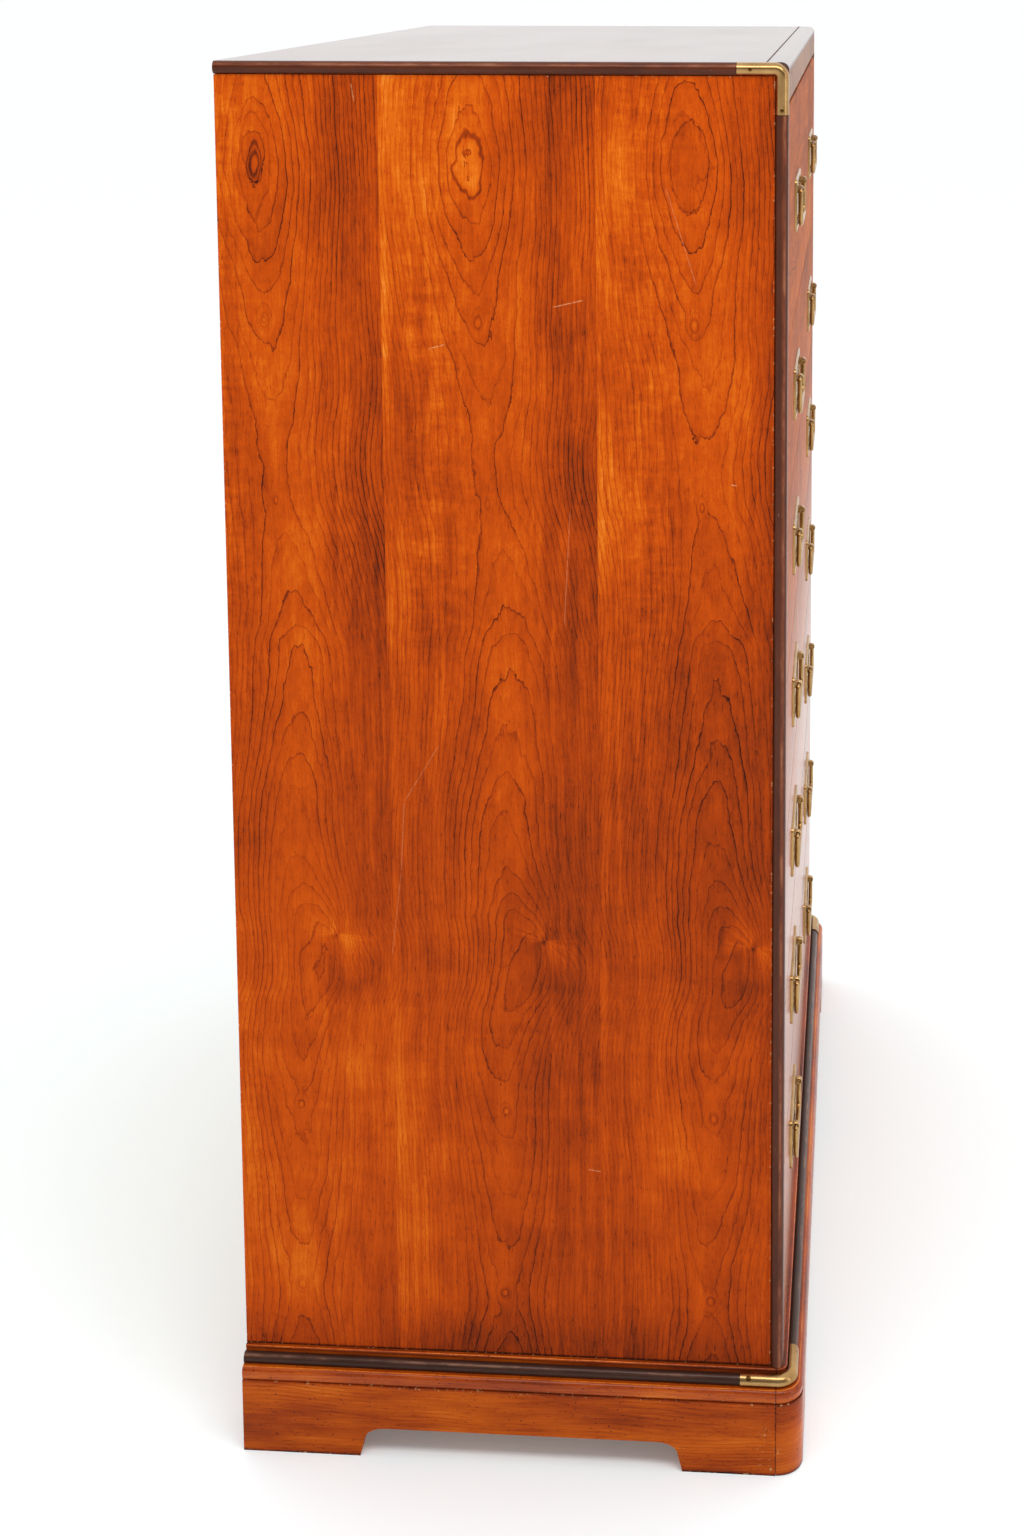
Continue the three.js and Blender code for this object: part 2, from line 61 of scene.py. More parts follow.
class Pattern:
    """A value that varies over a surface, held as a node's output. Sums, products and the functions
    below add the Math nodes that work them out, so that a figure can be written as a formula."""

    def __init__(self, put, socket):
        self.put = put
        self.socket = socket

    def worked(self, operation, *others):
        feeds = dict(enumerate((self, *others)))
        return Pattern(self.put, self.put("Math", feeds, operation=operation).outputs[0])

    def __add__(self, other):
        return self.worked("ADD", other)

    def __sub__(self, other):
        return self.worked("SUBTRACT", other)

    def __rsub__(self, other):
        return Pattern(self.put, self.put("Math", {0: other, 1: self}, operation="SUBTRACT").outputs[0])

    def __mul__(self, other):
        return self.worked("MULTIPLY", other)

    def __truediv__(self, other):
        return self.worked("DIVIDE", other)

    def fraction(self):
        return self.worked("FRACT")

    def whole(self):
        return self.worked("FLOOR")

    def root(self):
        return self.worked("SQRT")

    def size(self):
        return self.worked("ABSOLUTE")

    def least(self, other):
        return self.worked("MINIMUM", other)

    def most(self, other):
        return self.worked("MAXIMUM", other)

    def fade(self, low, high, start=0.0, end=1.0):
        """Goes smoothly from start, where the value is low, to end, where it is high."""
        feeds = {"Value": self, "From Min": low, "From Max": high, "To Min": start, "To Max": end}
        node = self.put("MapRange", feeds, interpolation_type="SMOOTHSTEP")
        return Pattern(self.put, node.outputs[0])

    def fall(self, low, high, start=1.0):
        """Falls smoothly from start, where the value is low, to 0, where it is high."""
        return self.fade(low, high, start, 0.0)

    def near(self, middle, tight, wide, strength=1.0):
        """Is strength where the value is within tight of middle, and falls to 0 at wide."""
        return (self - middle).size().fall(tight, wide, strength)

    def curve(self, points, reach, tall):
        """Follows a curve through points, whose first numbers run from 0 to reach and whose second
        numbers run from 0 to tall."""
        node = self.put("FloatCurve", {"Value": self / reach})
        line = node.mapping.curves[0]
        for place, (across, up) in enumerate(points):
            if place >= len(line.points):
                line.points.new(across / reach, up / tall)
            line.points[place].location = (across / reach, up / tall)
        node.mapping.update()
        return Pattern(self.put, node.outputs[0]) * tall


def node_maker(owner):
    """put(), which adds a node to a material or to the surround: feeds are inputs, as constants,
    patterns or other nodes, and settings are the node's own properties."""
    owner.use_nodes = True
    tree = owner.node_tree
    tree.nodes.clear()

    def put(kind, feeds=None, **settings):
        node = tree.nodes.new("ShaderNode" + kind)
        for key, value in settings.items():
            setattr(node, key, value)
        for key, value in (feeds or {}).items():
            if isinstance(value, bpy.types.Node):
                value = value.outputs[0]
            if isinstance(value, Pattern):
                value = value.socket
            if isinstance(value, bpy.types.NodeSocket):
                tree.links.new(value, node.inputs[key])
            else:
                node.inputs[key].default_value = value
        return node

    return put


def finish(name):
    """A new material, and the put() that adds its nodes."""
    material = bpy.data.materials.new(name)
    return material, node_maker(material)


def object_place(put):
    """The place on the object in its own frame, and that place's X, Y and Z as patterns."""
    coords = put("TexCoord").outputs["Object"]
    apart = put("SeparateXYZ", {0: coords})
    return coords, *(Pattern(put, apart.outputs[axis]) for axis in "XYZ")


def mixed(put, amount, first, second):
    """A colour that goes from the first to the second as the amount goes from 0 to 1."""
    return put("Mix", {0: amount, 6: first, 7: second}, data_type="RGBA").outputs[2]


def floor_finish():
    """Pale paint, a shade cooler round the chest, where the wood's glow warms it, and faintly uneven. The
    floor also glows faintly, a painted light that lifts it and its shadows.
    """
    material, put = finish("studio_floor")
    coords = object_place(put)[0]
    away = Pattern(put, put("VectorMath", {0: coords}, operation="LENGTH").outputs["Value"])
    uneven = put("TexNoise", {"Vector": coords, "Scale": 0.7, "Detail": 2.0}).outputs[0]
    shade = put("BsdfPrincipled", {"Base Color": mixed(put, away.fade(0.9, 3.5), NEAR_TINT, FAR_TINT),
                                   "Roughness": Pattern(put, uneven) * 0.1 + 0.85,
                                   "Specular IOR Level": 0.0, "Emission Color": (1, 1, 1, 1),
                                   "Emission Strength": 0.12})
    put("OutputMaterial", {"Surface": shade})
    return material


corners = [(x * FLOOR_REACH, y * FLOOR_REACH, 0) for x, y in ((-1, -1), (1, -1), (1, 1), (-1, 1))]
floor_mesh = bpy.data.meshes.new("studio_floor")
floor_mesh.from_pydata(corners, [], [(0, 1, 2, 3)])
floor = bpy.data.objects.new("studio_floor", floor_mesh)
bpy.context.scene.collection.objects.link(floor)
floor_mesh.materials.append(floor_finish())

surround = bpy.data.worlds.new("studio_surround")
put = node_maker(surround)
apart = put("SeparateXYZ", {0: put("TexCoord").outputs["Generated"]})
bright = Pattern(put, apart.outputs["X"]).fade(-0.9, 0.3, 0.30, 1.2)
put("OutputWorld", {"Surface": put("Background", {"Color": bright, "Strength": 1.0})})
bpy.context.scene.world = surround
bpy.context.scene.view_settings.view_transform = "Standard"

camera_data = bpy.data.cameras.new("camera")
camera_data.lens = 51.5625
camera_data.sensor_width = 36
camera_data.shift_x = -0.1246
camera_data.shift_y = -0.35683
camera_data.clip_end = 600
camera = bpy.data.objects.new("camera", camera_data)
camera.location = (-2.45139, -0.31584, 1.43411)
camera.rotation_euler = (math.pi / 2 - CAMERA_TIP, 0, CAMERA_TURN - math.pi / 2)
bpy.context.scene.collection.objects.link(camera)
bpy.context.scene.camera = camera


def soft_light(name, size, energy, place, turn):
    """A rectangular light with its width and height, power, place and angles."""
    light = bpy.data.lights.new(name, "AREA")
    light.shape = "RECTANGLE"
    light.size, light.size_y = size
    light.energy = energy
    lamp = bpy.data.objects.new(name, light)
    lamp.location = place
    lamp.rotation_euler = turn
    bpy.context.scene.collection.objects.link(lamp)


soft_light("softbox", (0.9, 3.0), 46, (-1.9, -0.6, 3.2), (0.2, -0.6, 0))
soft_light("standing_strip", (0.3, 2.4), 7, (-1.3, -2.4, 1.1), (math.pi / 2, 0, -0.35))


# Side panels
# Veneered boards, 18 mm thick: sliced cherry in three matched leaves, each 197 mm wide with the same
# cathedral figure and knots, stained orange-red and lacquered to a satin gloss.

LEAF_WIDTH = 0.1972
LEAF_EDGE = 0.120
LEAF_TALL = 1.36
RING_WIDTH = 0.0036
MOST_RINGS = 24.0
CHERRY_TONES = ((0.0, (0.055, 0.010, 0.004)), (0.2, (0.22, 0.028, 0.004)), (0.4, (0.40, 0.048, 0.003)),
                (0.6, (0.57, 0.077, 0.003)), (0.8, (0.72, 0.145, 0.006)), (1.0, (0.84, 0.28, 0.035)))
SCRATCH_TONE = (0.80, 0.42, 0.20, 1)
# Small knots of a leaf: across it, height, half width, half height
LEAF_KNOTS = ((0.089, 1.103, 0.0038, 0.0068), (0.107, 0.346, 0.0036, 0.0046),
              (0.104, 0.162, 0.0040, 0.0045), (0.096, 0.935, 0.0022, 0.0045))
# The great knot near the top: across, height, then half width and half height on the three leaves
GREAT_KNOT = (0.083, 1.247)
GREAT_HALF_WIDE = ((0.0, 0.0060), (1.0, 0.0125), (2.0, 0.0145))
GREAT_HALF_TALL = ((0.0, 0.0190), (1.0, 0.0300), (2.0, 0.0420))
# Where the grain is drawn in towards a lost branch, and how far round it that shows
SWIRL = (0.146, 0.517)
SWIRL_REACH = 0.046
# Scratches on the left side: from one Y and height to another, in metres, and how strong each is
SCRATCHES = ((-0.037, 1.118, -0.066, 1.125, 0.55), (0.078, 1.078, 0.061, 1.083, 0.55),
             (0.072, 0.705, 0.106, 0.649, 0.22), (0.106, 0.649, 0.110, 0.581, 0.22),
             (0.110, 0.581, 0.120, 0.497, 0.18), (-0.140, 1.229, -0.168, 1.139, 0.22),
             (0.144, 1.321, 0.141, 1.303, 0.45), (-0.052, 0.929, -0.046, 0.821, 0.22),
             (-0.198, 0.957, -0.206, 0.956, 0.7), (-0.064, 0.291, -0.078, 0.289, 0.5))
# Height of each point of the figure, and the number of the ring that peaks there
RING_PEAKS = ((0.0, 10.5), (0.098, 13.2), (0.127, 14.0), (0.150, 14.5), (0.177, 14.4), (0.234, 13.2),
              (0.291, 12.2), (0.359, 11.0), (0.393, 10.1), (0.436, 9.0), (0.491, 7.9), (0.531, 9.0),
              (0.551, 10.2), (0.573, 11.2), (0.602, 12.1), (0.662, 13.1), (0.693, 14.1), (0.744, 15.1),
              (0.802, 16.2), (0.820, 17.2), (0.867, 18.3), (0.96, 19.6), (1.054, 18.4), (1.113, 17.2),
              (1.150, 16.3), (1.178, 15.3), (1.207, 14.4), (1.247, 13.7), (1.29, 14.5), (1.34, 16.0))
# Height, and how far across the leaf the middle of the figure is there
FIGURE_MIDDLE = ((0.0, 0.102), (0.162, 0.104), (0.291, 0.108), (0.393, 0.105), (0.436, 0.110),
                 (0.491, 0.122), (0.551, 0.112), (0.602, 0.107), (0.693, 0.113), (0.82, 0.113),
                 (0.90, 0.104), (0.96, 0.094), (1.054, 0.095), (1.103, 0.089), (1.247, 0.083),
                 (1.34, 0.084))


def ramp_of(put, amount, tones):
    """A colour for each amount from 0 to 1, through the tones given."""
    node = put("ValToRGB", {"Fac": amount})
    stops = node.color_ramp.elements
    while len(stops) < len(tones):
        stops.new(1.0)
    for stop, (at, colour) in zip(stops, tones):
        stop.position = at
        stop.color = (*colour, 1)
    return node


def speckles(put, *place):
    """A function that gives noise from 0 to 1 at a place, which is one socket or its coordinates. It
    first multiplies the place by stretch. Finer layers, as many as detail says, are each rough
    times as strong as the last."""
    if len(place) > 1:
        place = [put("CombineXYZ", dict(enumerate(place)))]

    def noise(stretch, detail=2.0, rough=0.5):
        at = put("VectorMath", {0: place[0], 1: stretch}, operation="MULTIPLY")
        feeds = {"Vector": at, "Scale": 1.0, "Detail": detail, "Roughness": rough}
        return Pattern(put, put("TexNoise", feeds).outputs[0])

    return noise


def surfaced(material, put, colour, rough, relief, strength, deep, gloss=0.5, metal=0.0):
    """Ends a material, with its colour, its roughness, and a bump of some strength and depth that
    follows the relief. Gloss is its specular level."""
    bump = put("Bump", {"Height": relief, "Strength": strength, "Distance": deep})
    shade = put("BsdfPrincipled", {"Base Color": colour, "Roughness": rough, "Normal": bump,
                                   "Specular IOR Level": gloss, "Metallic": metal})
    put("OutputMaterial", {"Surface": shade})
    return material


def from_centre(across, up, centre, half_wide, half_tall):
    """Distance from a centre in an oval's own half widths: 1 on the oval, 0 at its middle."""
    side, rise = (across - centre[0]) / half_wide, (up - centre[1]) / half_tall
    return (side * side + rise * rise).root()


def veneer_figure(put, across, up, leaf):
    """Ring lines of a leaf of flat-sliced cherry. Rings are where the square root of (distance from the
    figure's middle over the ring width, squared, plus the peak number at that height, squared)
    passes a whole number, so that they peak as cathedrals where the peak number changes with
    height, and close as ovals round its low points. Round the swirl the place is first moved
    away from its middle, so that the rings crowd in there. The grain sways a little throughout."""
    sway = (speckles(put, across, up, leaf * 0.05)((16, 24, 30)) - 0.5) * 0.007
    noise = speckles(put, across + sway, up, leaf * 0.05)
    pull = from_centre(across, up, SWIRL, SWIRL_REACH, SWIRL_REACH).fall(0.0, 1.0, 0.9)
    across = across + (across - SWIRL[0]) * pull
    up = up + (up - SWIRL[1]) * pull * 0.5
    middle = up.curve(FIGURE_MIDDLE, LEAF_TALL, LEAF_WIDTH)
    peak = up.curve(RING_PEAKS, LEAF_TALL, MOST_RINGS)
    drift = noise((9, 3.2, 30), 1.0) - 0.5
    waver = noise((38, 17, 60), 4.0, 0.62) - 0.5
    out = (across - middle + drift * 0.022) / RING_WIDTH
    steep = (out * out + peak * peak).root()
    rings = steep + waver * 1.5 + leaf * 0.23
    for knot_across, knot_up, half_wide, half_tall in LEAF_KNOTS:
        near = from_centre(across, up, (knot_across, knot_up), half_wide * 3.0, half_tall * 3.0)
        rings = rings - near.fall(0.0, 1.0, 1.5)
    part = rings.fraction()
    slope = (out / RING_WIDTH / steep).size() + 42.0
    line = ((1.0 - part) / slope).fall(0.0001, 0.0013)
    strength = Pattern(put, put("TexWhiteNoise", {"W": rings.whole()}, noise_dimensions="1D").outputs[0])
    patchy = noise((25, 6, 20), 1.0)
    faint = across.fade(0.12, 0.16) * up.fade(0.75, 0.9, 0.72, 0.2)
    clear = across.fade(0.04, 0.085, 0.0, 0.55) + up.fade(0.5, 0.9, 0.45, 0.70)
    line = line * (strength * 0.6 + 0.4) * patchy.fade(0.3, 0.6, 0.4, 1.0) * (1.0 - faint) * clear
    return noise, line, part * part * (strength * 0.6 + 0.3)


def knots_of(put, noise, across, up, leaf):
    """How much lighter the knots make the veneer: each has a dark rim round a golden middle. The great
    knot's rim is ragged, and on the first leaf its middle is a dark hole. At the swirl, a painted
    highlight fans out in rays to both sides of a small dark spot, over a darker cloud."""
    ragged = (noise((60, 34, 90)) - 0.5) * 1.5
    half_wide = leaf.curve(GREAT_HALF_WIDE, 2.0, 0.05)
    half_tall = leaf.curve(GREAT_HALF_TALL, 2.0, 0.05)
    great = from_centre(across, up, GREAT_KNOT, half_wide, half_tall)
    great = great + ragged * leaf.fade(1.2, 2.0, 1.0, 2.3)
    rim = great.near(1.0, 0.03, 0.14) * leaf.fade(1.0, 2.0, 0.36, 0.13)
    hole = (great.fade(0.15, 0.55) - great.fade(0.45, 1.0)) * leaf.fall(0.2, 0.8, 0.42)
    outer = great.near(2.4, 0.04, 0.16, 0.16) * leaf.fall(0.2, 0.8)
    golden = leaf.fade(0.2, 0.8, 0.0, 1.0) * leaf.fade(1.2, 1.8, 1.0, -0.3)
    lighter = great.fall(0.5, 1.0, 0.13) * golden - rim - hole - outer
    for knot_across, knot_up, half_wide, half_tall in LEAF_KNOTS:
        small = from_centre(across, up, (knot_across, knot_up), half_wide, half_tall) + ragged * 0.7
        rim = small.near(0.9, 0.05, 0.40, 0.22) * ragged.fade(-0.3, 0.15, 0.3, 1.0)
        lighter = lighter + small.fall(0.0, 0.7, 0.10) - rim
    aside, rise = across - SWIRL[0], up - SWIRL[1]
    far = (aside * aside + rise * rise).root()
    rays = speckles(put, rise.worked("ARCTAN2", aside), far * 20.0, leaf)((9, 1, 1))
    lean = ((aside * 0.80 - rise * 0.60) / far).size().fade(0.45, 0.95)
    # Painted highlight fanning out in rays round the swirl
    glow = far.fall(0.001, 0.046, 0.30) * rays.fade(0.30, 0.70, 0.35, 1.0) * lean
    drawn = from_centre(across, up, (SWIRL[0] - 0.002, SWIRL[1]), 0.0032, 0.0060) + ragged * 0.6
    shadow = from_centre(across, up, (SWIRL[0] + 0.006, SWIRL[1] - 0.044), 0.042, 0.036) + ragged * 0.4
    dim = drawn.fall(0.2, 1.2, 0.22) + shadow.fall(0.2, 1.1, 0.09) * leaf.fade(1.2, 1.8, 1.0, 0.4)
    return lighter + glow - dim


def veneered(material, put, across, up, leaf, sort, sheen=0.04, lift=0.0, marks=None, dull=0.26,
             tones=CHERRY_TONES):
    """Stained and lacquered veneer with the leaf's figure, fibres, curl, and pale and dark edges. Its
    tone runs from 0 dark to 1 light, and lift, which on the side panels carries painted light and shade,
    is added to it. Marks lay the wood bare. The number sort parts one set of leaves from another."""
    noise, line, shade = veneer_figure(put, across, up, leaf + sort)
    cloud = noise((11, 4, 12), 3.0, 0.55)
    fibre = noise((900, 30, 50), 3.0, 0.7)
    thread = noise((230, 3.6, 50), 3.0, 0.65)
    fleck = noise((760, 90, 40), 1.0).fade(0.64, 0.72)
    grainy = noise((600, 420, 60), 2.0, 0.7)
    curl = noise((38, 120, 30), 3.0, 0.6)
    mottle = noise((150, 70, 30), 3.0, 0.65)
    patch = noise((26, 7, 40))
    wave = noise((8, 30, 20), 3.0, 0.55)
    curl_here = across.fade(0.012, 0.03, 0.4, 1.0) * across.fade(0.05, 0.10, 1.0, 0.2) \
        * up.fade(0.74, 0.88, 0.25, 1.0)
    wave_here = up.fade(0.10, 0.30, 0.2, 1.0) * up.fade(0.46, 0.60, 1.0, 0.1)
    flank = (across.fade(0.05, 0.085, 1.0, 0.35) + across.fade(0.115, 0.15, 0.0, 0.65)) \
        * up.fade(0.55, 0.85, 0.75, 1.0)
    narrower = leaf.fade(1.2, 1.8, 0.0, 0.009)
    pale_edge = across.fade(0.0, 0.002, 0.3, 1.0) * (across + narrower).fall(0.006, 0.024)
    pale_patch = across.fall(0.03, 0.085) * patch.fade(0.42, 0.62) * up.fade(0.78, 0.90)
    dark_edge = across.fade(0.120, 0.168) * up.fade(0.55, 0.90, 0.30, 1.0)
    thin_pale = across.near(0.0185, 0.0008, 0.0035) * up.fade(0.70, 0.82, 1.0, 0.2) \
        + across.near(0.005, 0.0010, 0.0050, 1.4) * up.fall(0.70, 0.82)
    blotch = noise((60, 14, 40), 3.0, 0.6)
    tone = (cloud - 0.5) * up.fade(0.4, 0.8, 0.50, 0.65) + (fibre - 0.5) * 0.32 + 0.555
    tone = tone + (thread - 0.5) * flank * 0.56
    tone = tone + (blotch - 0.5) * 0.40 + (mottle - 0.5) * up.fade(0.5, 0.9, 0.20, 0.34)
    # Darker low on the leaf: partly the wood's own tone, partly painted shade
    tone = tone + up.fade(0.45, 1.05, -0.07, 0.04) + (curl - 0.5) * curl_here * 0.42
    tone = tone + (wave - 0.5) * wave_here * 0.34 + (grainy - 0.5) * 0.20
    tone = tone + pale_edge * patch.fade(0.35, 0.6, 0.2, 1.0) * up.fade(0.74, 0.84, 0.04, 0.15) \
        * thread.fade(0.3, 0.6, 0.4, 1.0)
    tone = tone + pale_patch * 0.11 + thin_pale * 0.05
    tone = tone - dark_edge * 0.15 - line * up.fade(0.3, 0.9, 0.34, 0.38) - shade * 0.10 - fleck * 0.20
    tone = tone + knots_of(put, noise, across, up, leaf) + lift
    colour = ramp_of(put, tone, tones)
    rough = fibre * 0.10 + cloud * 0.08 + dull
    if marks:
        colour = mixed(put, marks, colour, SCRATCH_TONE)
        rough = rough + marks * 0.3
    return surfaced(material, put, colour, rough, fibre * 0.5 - line * 0.6, 0.05, 0.0004, sheen)


def scratches(put, y, z):
    """How strongly the surface is scratched. Each scratch is a hair's width about a straight line, and
    ends softly a few millimetres before the line's ends."""
    total = None
    for from_y, from_z, to_y, to_z, strength in SCRATCHES:
        long = math.hypot(to_y - from_y, to_z - from_z)
        way_y, way_z = (to_y - from_y) / long, (to_z - from_z) / long
        along = (y - from_y) * way_y + (z - from_z) * way_z
        away = ((y - from_y) * way_z - (z - from_z) * way_y).size()
        mark = away.fall(0.0001, 0.0008, strength) * along.fade(0.0, 0.003) \
            * along.fall(long - 0.003, long)
        total = mark if total is None else total.most(mark)
    broken = speckles(put, y, z)((300, 300, 1))
    return total * broken.fade(0.35, 0.6, 0.4, 1.0)


def cherry_side(side):
    """Three leaves side by side: across is the distance from a leaf's edge towards the front. There are
    pale chips along the board's edges. Painted shade darkens it towards the front and low in its middle,
    a painted shadow darkens it along its foot, and painted light lightens it low towards the back."""
    material, put = finish("cherry_side_" + side)
    y, z = object_place(put)[2:]
    along = (LEAF_EDGE - y) / LEAF_WIDTH
    low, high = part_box("side_panel_" + side)
    to_edge = (y - low.y).least(z - low.z).least(high.y - y).least(high.z - z)
    chipped = speckles(put, y, z)((330, 330, 1))
    marks = to_edge.fall(0.0006, 0.0016) * chipped.fade(0.60, 0.68, 0.0, 0.6)
    if side == "left":
        marks = marks.most(scratches(put, y, z))
    # Painted light and shade: darker towards the front, lighter low towards the back, a shadow along the
    # foot and darker low in the middle
    painted_front_shade = y.fade(-0.25, 0.25, 0.11, -0.01) * z.fade(0.25, 0.6, 0.1, 1.0) \
        * z.fade(0.75, 1.15, 1.0, 0.1)
    painted_low_light = y.fade(-0.1, 0.2, 0.07, 0.15) * z.fall(0.38, 0.62)
    painted_foot_shadow = z.fall(low.z, low.z + 0.0028, 0.45) + z.fall(low.z, low.z + 0.07, 0.20)
    painted_middle_shade = y.size().fall(0.06, 0.17, 0.095) * z.fall(0.42, 0.60)
    return veneered(material, put, along.fraction() * LEAF_WIDTH, z, along.whole() + 1.0,
                    4.0 if side == "right" else 0.0, marks=marks,
                    lift=painted_low_light - painted_front_shade - painted_foot_shadow - painted_middle_shade)


def dress(node, material):
    """Gives a CAD node's own object one material in every slot."""
    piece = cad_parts[node]
    if not piece.data.materials:
        piece.data.materials.append(material)
    for place in range(len(piece.material_slots)):
        piece.material_slots[place].material = material


dress("side_panel_left", cherry_side("left"))
dress("side_panel_right", cherry_side("right"))


# Top board, frieze and the plain boards inside
# The top is a veneered board under a high gloss, and the frieze in front of it is solid, with a rounded
# edge that shows as a band on the top. The back and bottom boards are plain pale wood, thinly lacquered.

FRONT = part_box("frieze_rail")[0].y
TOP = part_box("frieze_rail")[1].z
FRIEZE_EDGE = 0.007
TOP_TONES = ((0.0, (0.020, 0.007, 0.005)), (0.35, (0.060, 0.020, 0.010)), (0.6, (0.13, 0.040, 0.016)),
             (1.0, (0.40, 0.160, 0.050)))
PALE_TONES = ((0.0, (0.22, 0.10, 0.035)), (0.4, (0.45, 0.245, 0.100)), (0.7, (0.59, 0.355, 0.160)),
              (1.0, (0.70, 0.47, 0.24)))


def cherry_top():
    """Board with its grain along the chest's width: rings run along X and drift slowly across Y. The
    frieze's face is browner and duller, and a dark joint runs along its back edge."""
    material, put = finish("cherry_top")
    coords, _, y, z = object_place(put)
    noise = speckles(put, coords)
    rings = (y + (noise((1.6, 6, 2)) - 0.5) * 0.09) * 210.0
    line = rings.fraction().fade(0.72, 0.99)
    fibre = noise((14, 620, 40), 2.0, 0.6)
    cloud = noise((2.5, 7, 3))
    face = z.fall(TOP - 0.010, TOP - 0.004)
    tone = (cloud - 0.5) * 0.3 + (fibre - 0.5) * 0.25 + 0.46 - line * 0.16 + face * 0.36
    seam = y.near(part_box("frieze_rail")[1].y, 0.0003, 0.0012)
    rough = noise((3, 9, 4), 3.0) * 0.06 + seam * 0.6 + face * 0.30 + 0.14
    return surfaced(material, put, ramp_of(put, tone, TOP_TONES), rough, fibre, 0.04, 0.0003, 0.6)


def pale_wood(name, stretch, side_walls=9.0):
    """Plain wood with its grain along the axis that stretch leaves smallest, or along Y on the side
    walls, which are the parts farther out than side_walls."""
    material, put = finish(name)
    x, y, z = object_place(put)[1:]
    turned = x.size().fade(side_walls, side_walls + 0.0005)
    noise = speckles(put, x + (y - x) * turned, y + (x - y) * turned, z)
    fibre = noise([8 + 560 * part for part in stretch], 2.0, 0.6)
    streak = noise([2.5 + 70 * part for part in stretch], 3.0, 0.6)
    colour = ramp_of(put, streak * 0.75 + (fibre - 0.5) * 0.35 + 0.12, PALE_TONES)
    return surfaced(material, put, colour, fibre * 0.2 + 0.45, fibre, 0.12, 0.0004)


def joined(rows):
    """Four-sided faces between neighbouring closed rows of point numbers."""
    after = np.roll(rows, -1, axis=1)
    return np.stack([rows[:-1], after[:-1], after[1:], rows[1:]], -1).reshape(-1, 4).tolist()


def skinned(points):
    """The points, and the faces of a closed skin over their rows: each row is joined to the next, and
    the first and the last are filled."""
    rows = np.arange(points.shape[0] * points.shape[1]).reshape(points.shape[:2])
    return points, joined(rows) + [rows[0].tolist(), rows[-1].tolist()]


def carried(profile, at, across, up):
    """A skin over a closed outline carried along stations: a point is its station's place, plus the
    station's across direction times the outline's x, plus its up direction times y."""
    profile = np.asarray(profile, float)
    at, across, up = np.broadcast_arrays(*(np.asarray(part, float) for part in (at, across, up)))
    return skinned(at[:, None] + across[:, None] * profile[..., :1] + up[:, None] * profile[..., 1:])


def made(name, points, faces, material, slot, body="carcass", stands_for=(), crease=32.0):
    """A new piece from points and faces in the object's frame. Its rows are kept as two attributes,
    run, the distance along the stations, and round, the distance along the outline."""
    rows = np.asarray(points, float)
    mesh = bpy.data.meshes.new(name)
    mesh.from_pydata(rows.reshape(-1, 3).tolist(), [], faces)
    if rows.ndim == 3:
        middle = rows.mean(1)
        run = np.concatenate([[0.0], np.linalg.norm(np.diff(middle, axis=0), axis=1).cumsum()])
        girth = np.linalg.norm(np.diff(rows, axis=1), axis=2).cumsum(1)
        girth = np.concatenate([np.zeros((len(rows), 1)), girth], 1)
        for label, values in (("run", np.repeat(run[:, None], rows.shape[1], 1)), ("round", girth)):
            kept = mesh.attributes.new(label, "FLOAT", "POINT")
            kept.data.foreach_set("value", values.astype(np.float32).ravel())
    shell = bmesh.new()
    shell.from_mesh(mesh)
    bmesh.ops.recalc_face_normals(shell, faces=shell.faces)
    shell.to_mesh(mesh)
    shell.free()
    mesh.materials.append(material)
    mesh.shade_smooth()
    mesh.set_sharp_from_angle(angle=math.radians(crease))
    piece = bpy.data.objects.new(name, mesh)
    bpy.context.scene.collection.objects.link(piece)
    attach(piece, body)
    if stands_for:
        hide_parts(*stands_for)


def bow(centre, radius, start, stop, steps):
    """Points on an arc: centre plus radius times (cosine, sine) of angles from start to stop, in
    degrees."""
    angle = np.radians(np.linspace(start, stop, steps + 1))
    return np.stack([centre[0] + radius * np.cos(angle), centre[1] + radius * np.sin(angle)], 1)


def frieze():
    """A section with a rounded upper front edge, carried from end to end."""
    low, high = (np.array(corner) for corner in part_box("frieze_rail"))
    edge = bow((low[1] + FRIEZE_EDGE, high[2] - FRIEZE_EDGE), FRIEZE_EDGE, 90, 180, 14)
    section = np.concatenate([[[low[1], low[2]], [high[1], low[2]], [high[1], high[2]]], edge])
    at = [(low[0], 0, 0), (high[0], 0, 0)]
    made("frieze", *carried(section, at, [(0, 1, 0)], [(0, 0, 1)]), top_finish, "cherry_top",
         stands_for=["frieze_rail"])


top_finish = cherry_top()
dress("top_panel", top_finish)
frieze()
dress("back_panel", pale_wood("back_board_wood", (1, 1, 0)))
dress("bottom_panel", pale_wood("bottom_board_wood", (0, 1, 1)))


# Dark half-round beads
# Turned hardwood mouldings, 12 mm across, stained nearly black and glued into a rebate along the top
# edge and down the front edge of each side panel.

SIDES = (("left", -1.0), ("right", 1.0))
BEAD_HALF = 0.006
BEAD_SEAT = 0.004
BEAD_CROWN = 0.006
BEAD_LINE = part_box("top_bead_right")[1].x - BEAD_CROWN
# Distances round the section: of the bead's two edges, and of the lines where a highlight is painted
BEAD_EDGES = (0.0003, 0.0186)
TOP_BEAD_HIGHLIGHT = 0.0058
FRONT_BEAD_HIGHLIGHT = 0.0120
BEAD_TONES = ((0.0, (0.022, 0.006, 0.003)), (0.4, (0.090, 0.021, 0.008)), (0.7, (0.170, 0.042, 0.015)),
              (1.0, (0.34, 0.14, 0.07)))


def half_round(crown):
    """Section of a bead: half an ellipse, as wide as the bead and crown high, over a seat."""
    section = bow((0, 0), 1.0, 0, 180, 24) * (BEAD_HALF, crown)
    return np.concatenate([section, [[-BEAD_HALF, -BEAD_SEAT], [BEAD_HALF, -BEAD_SEAT]]])


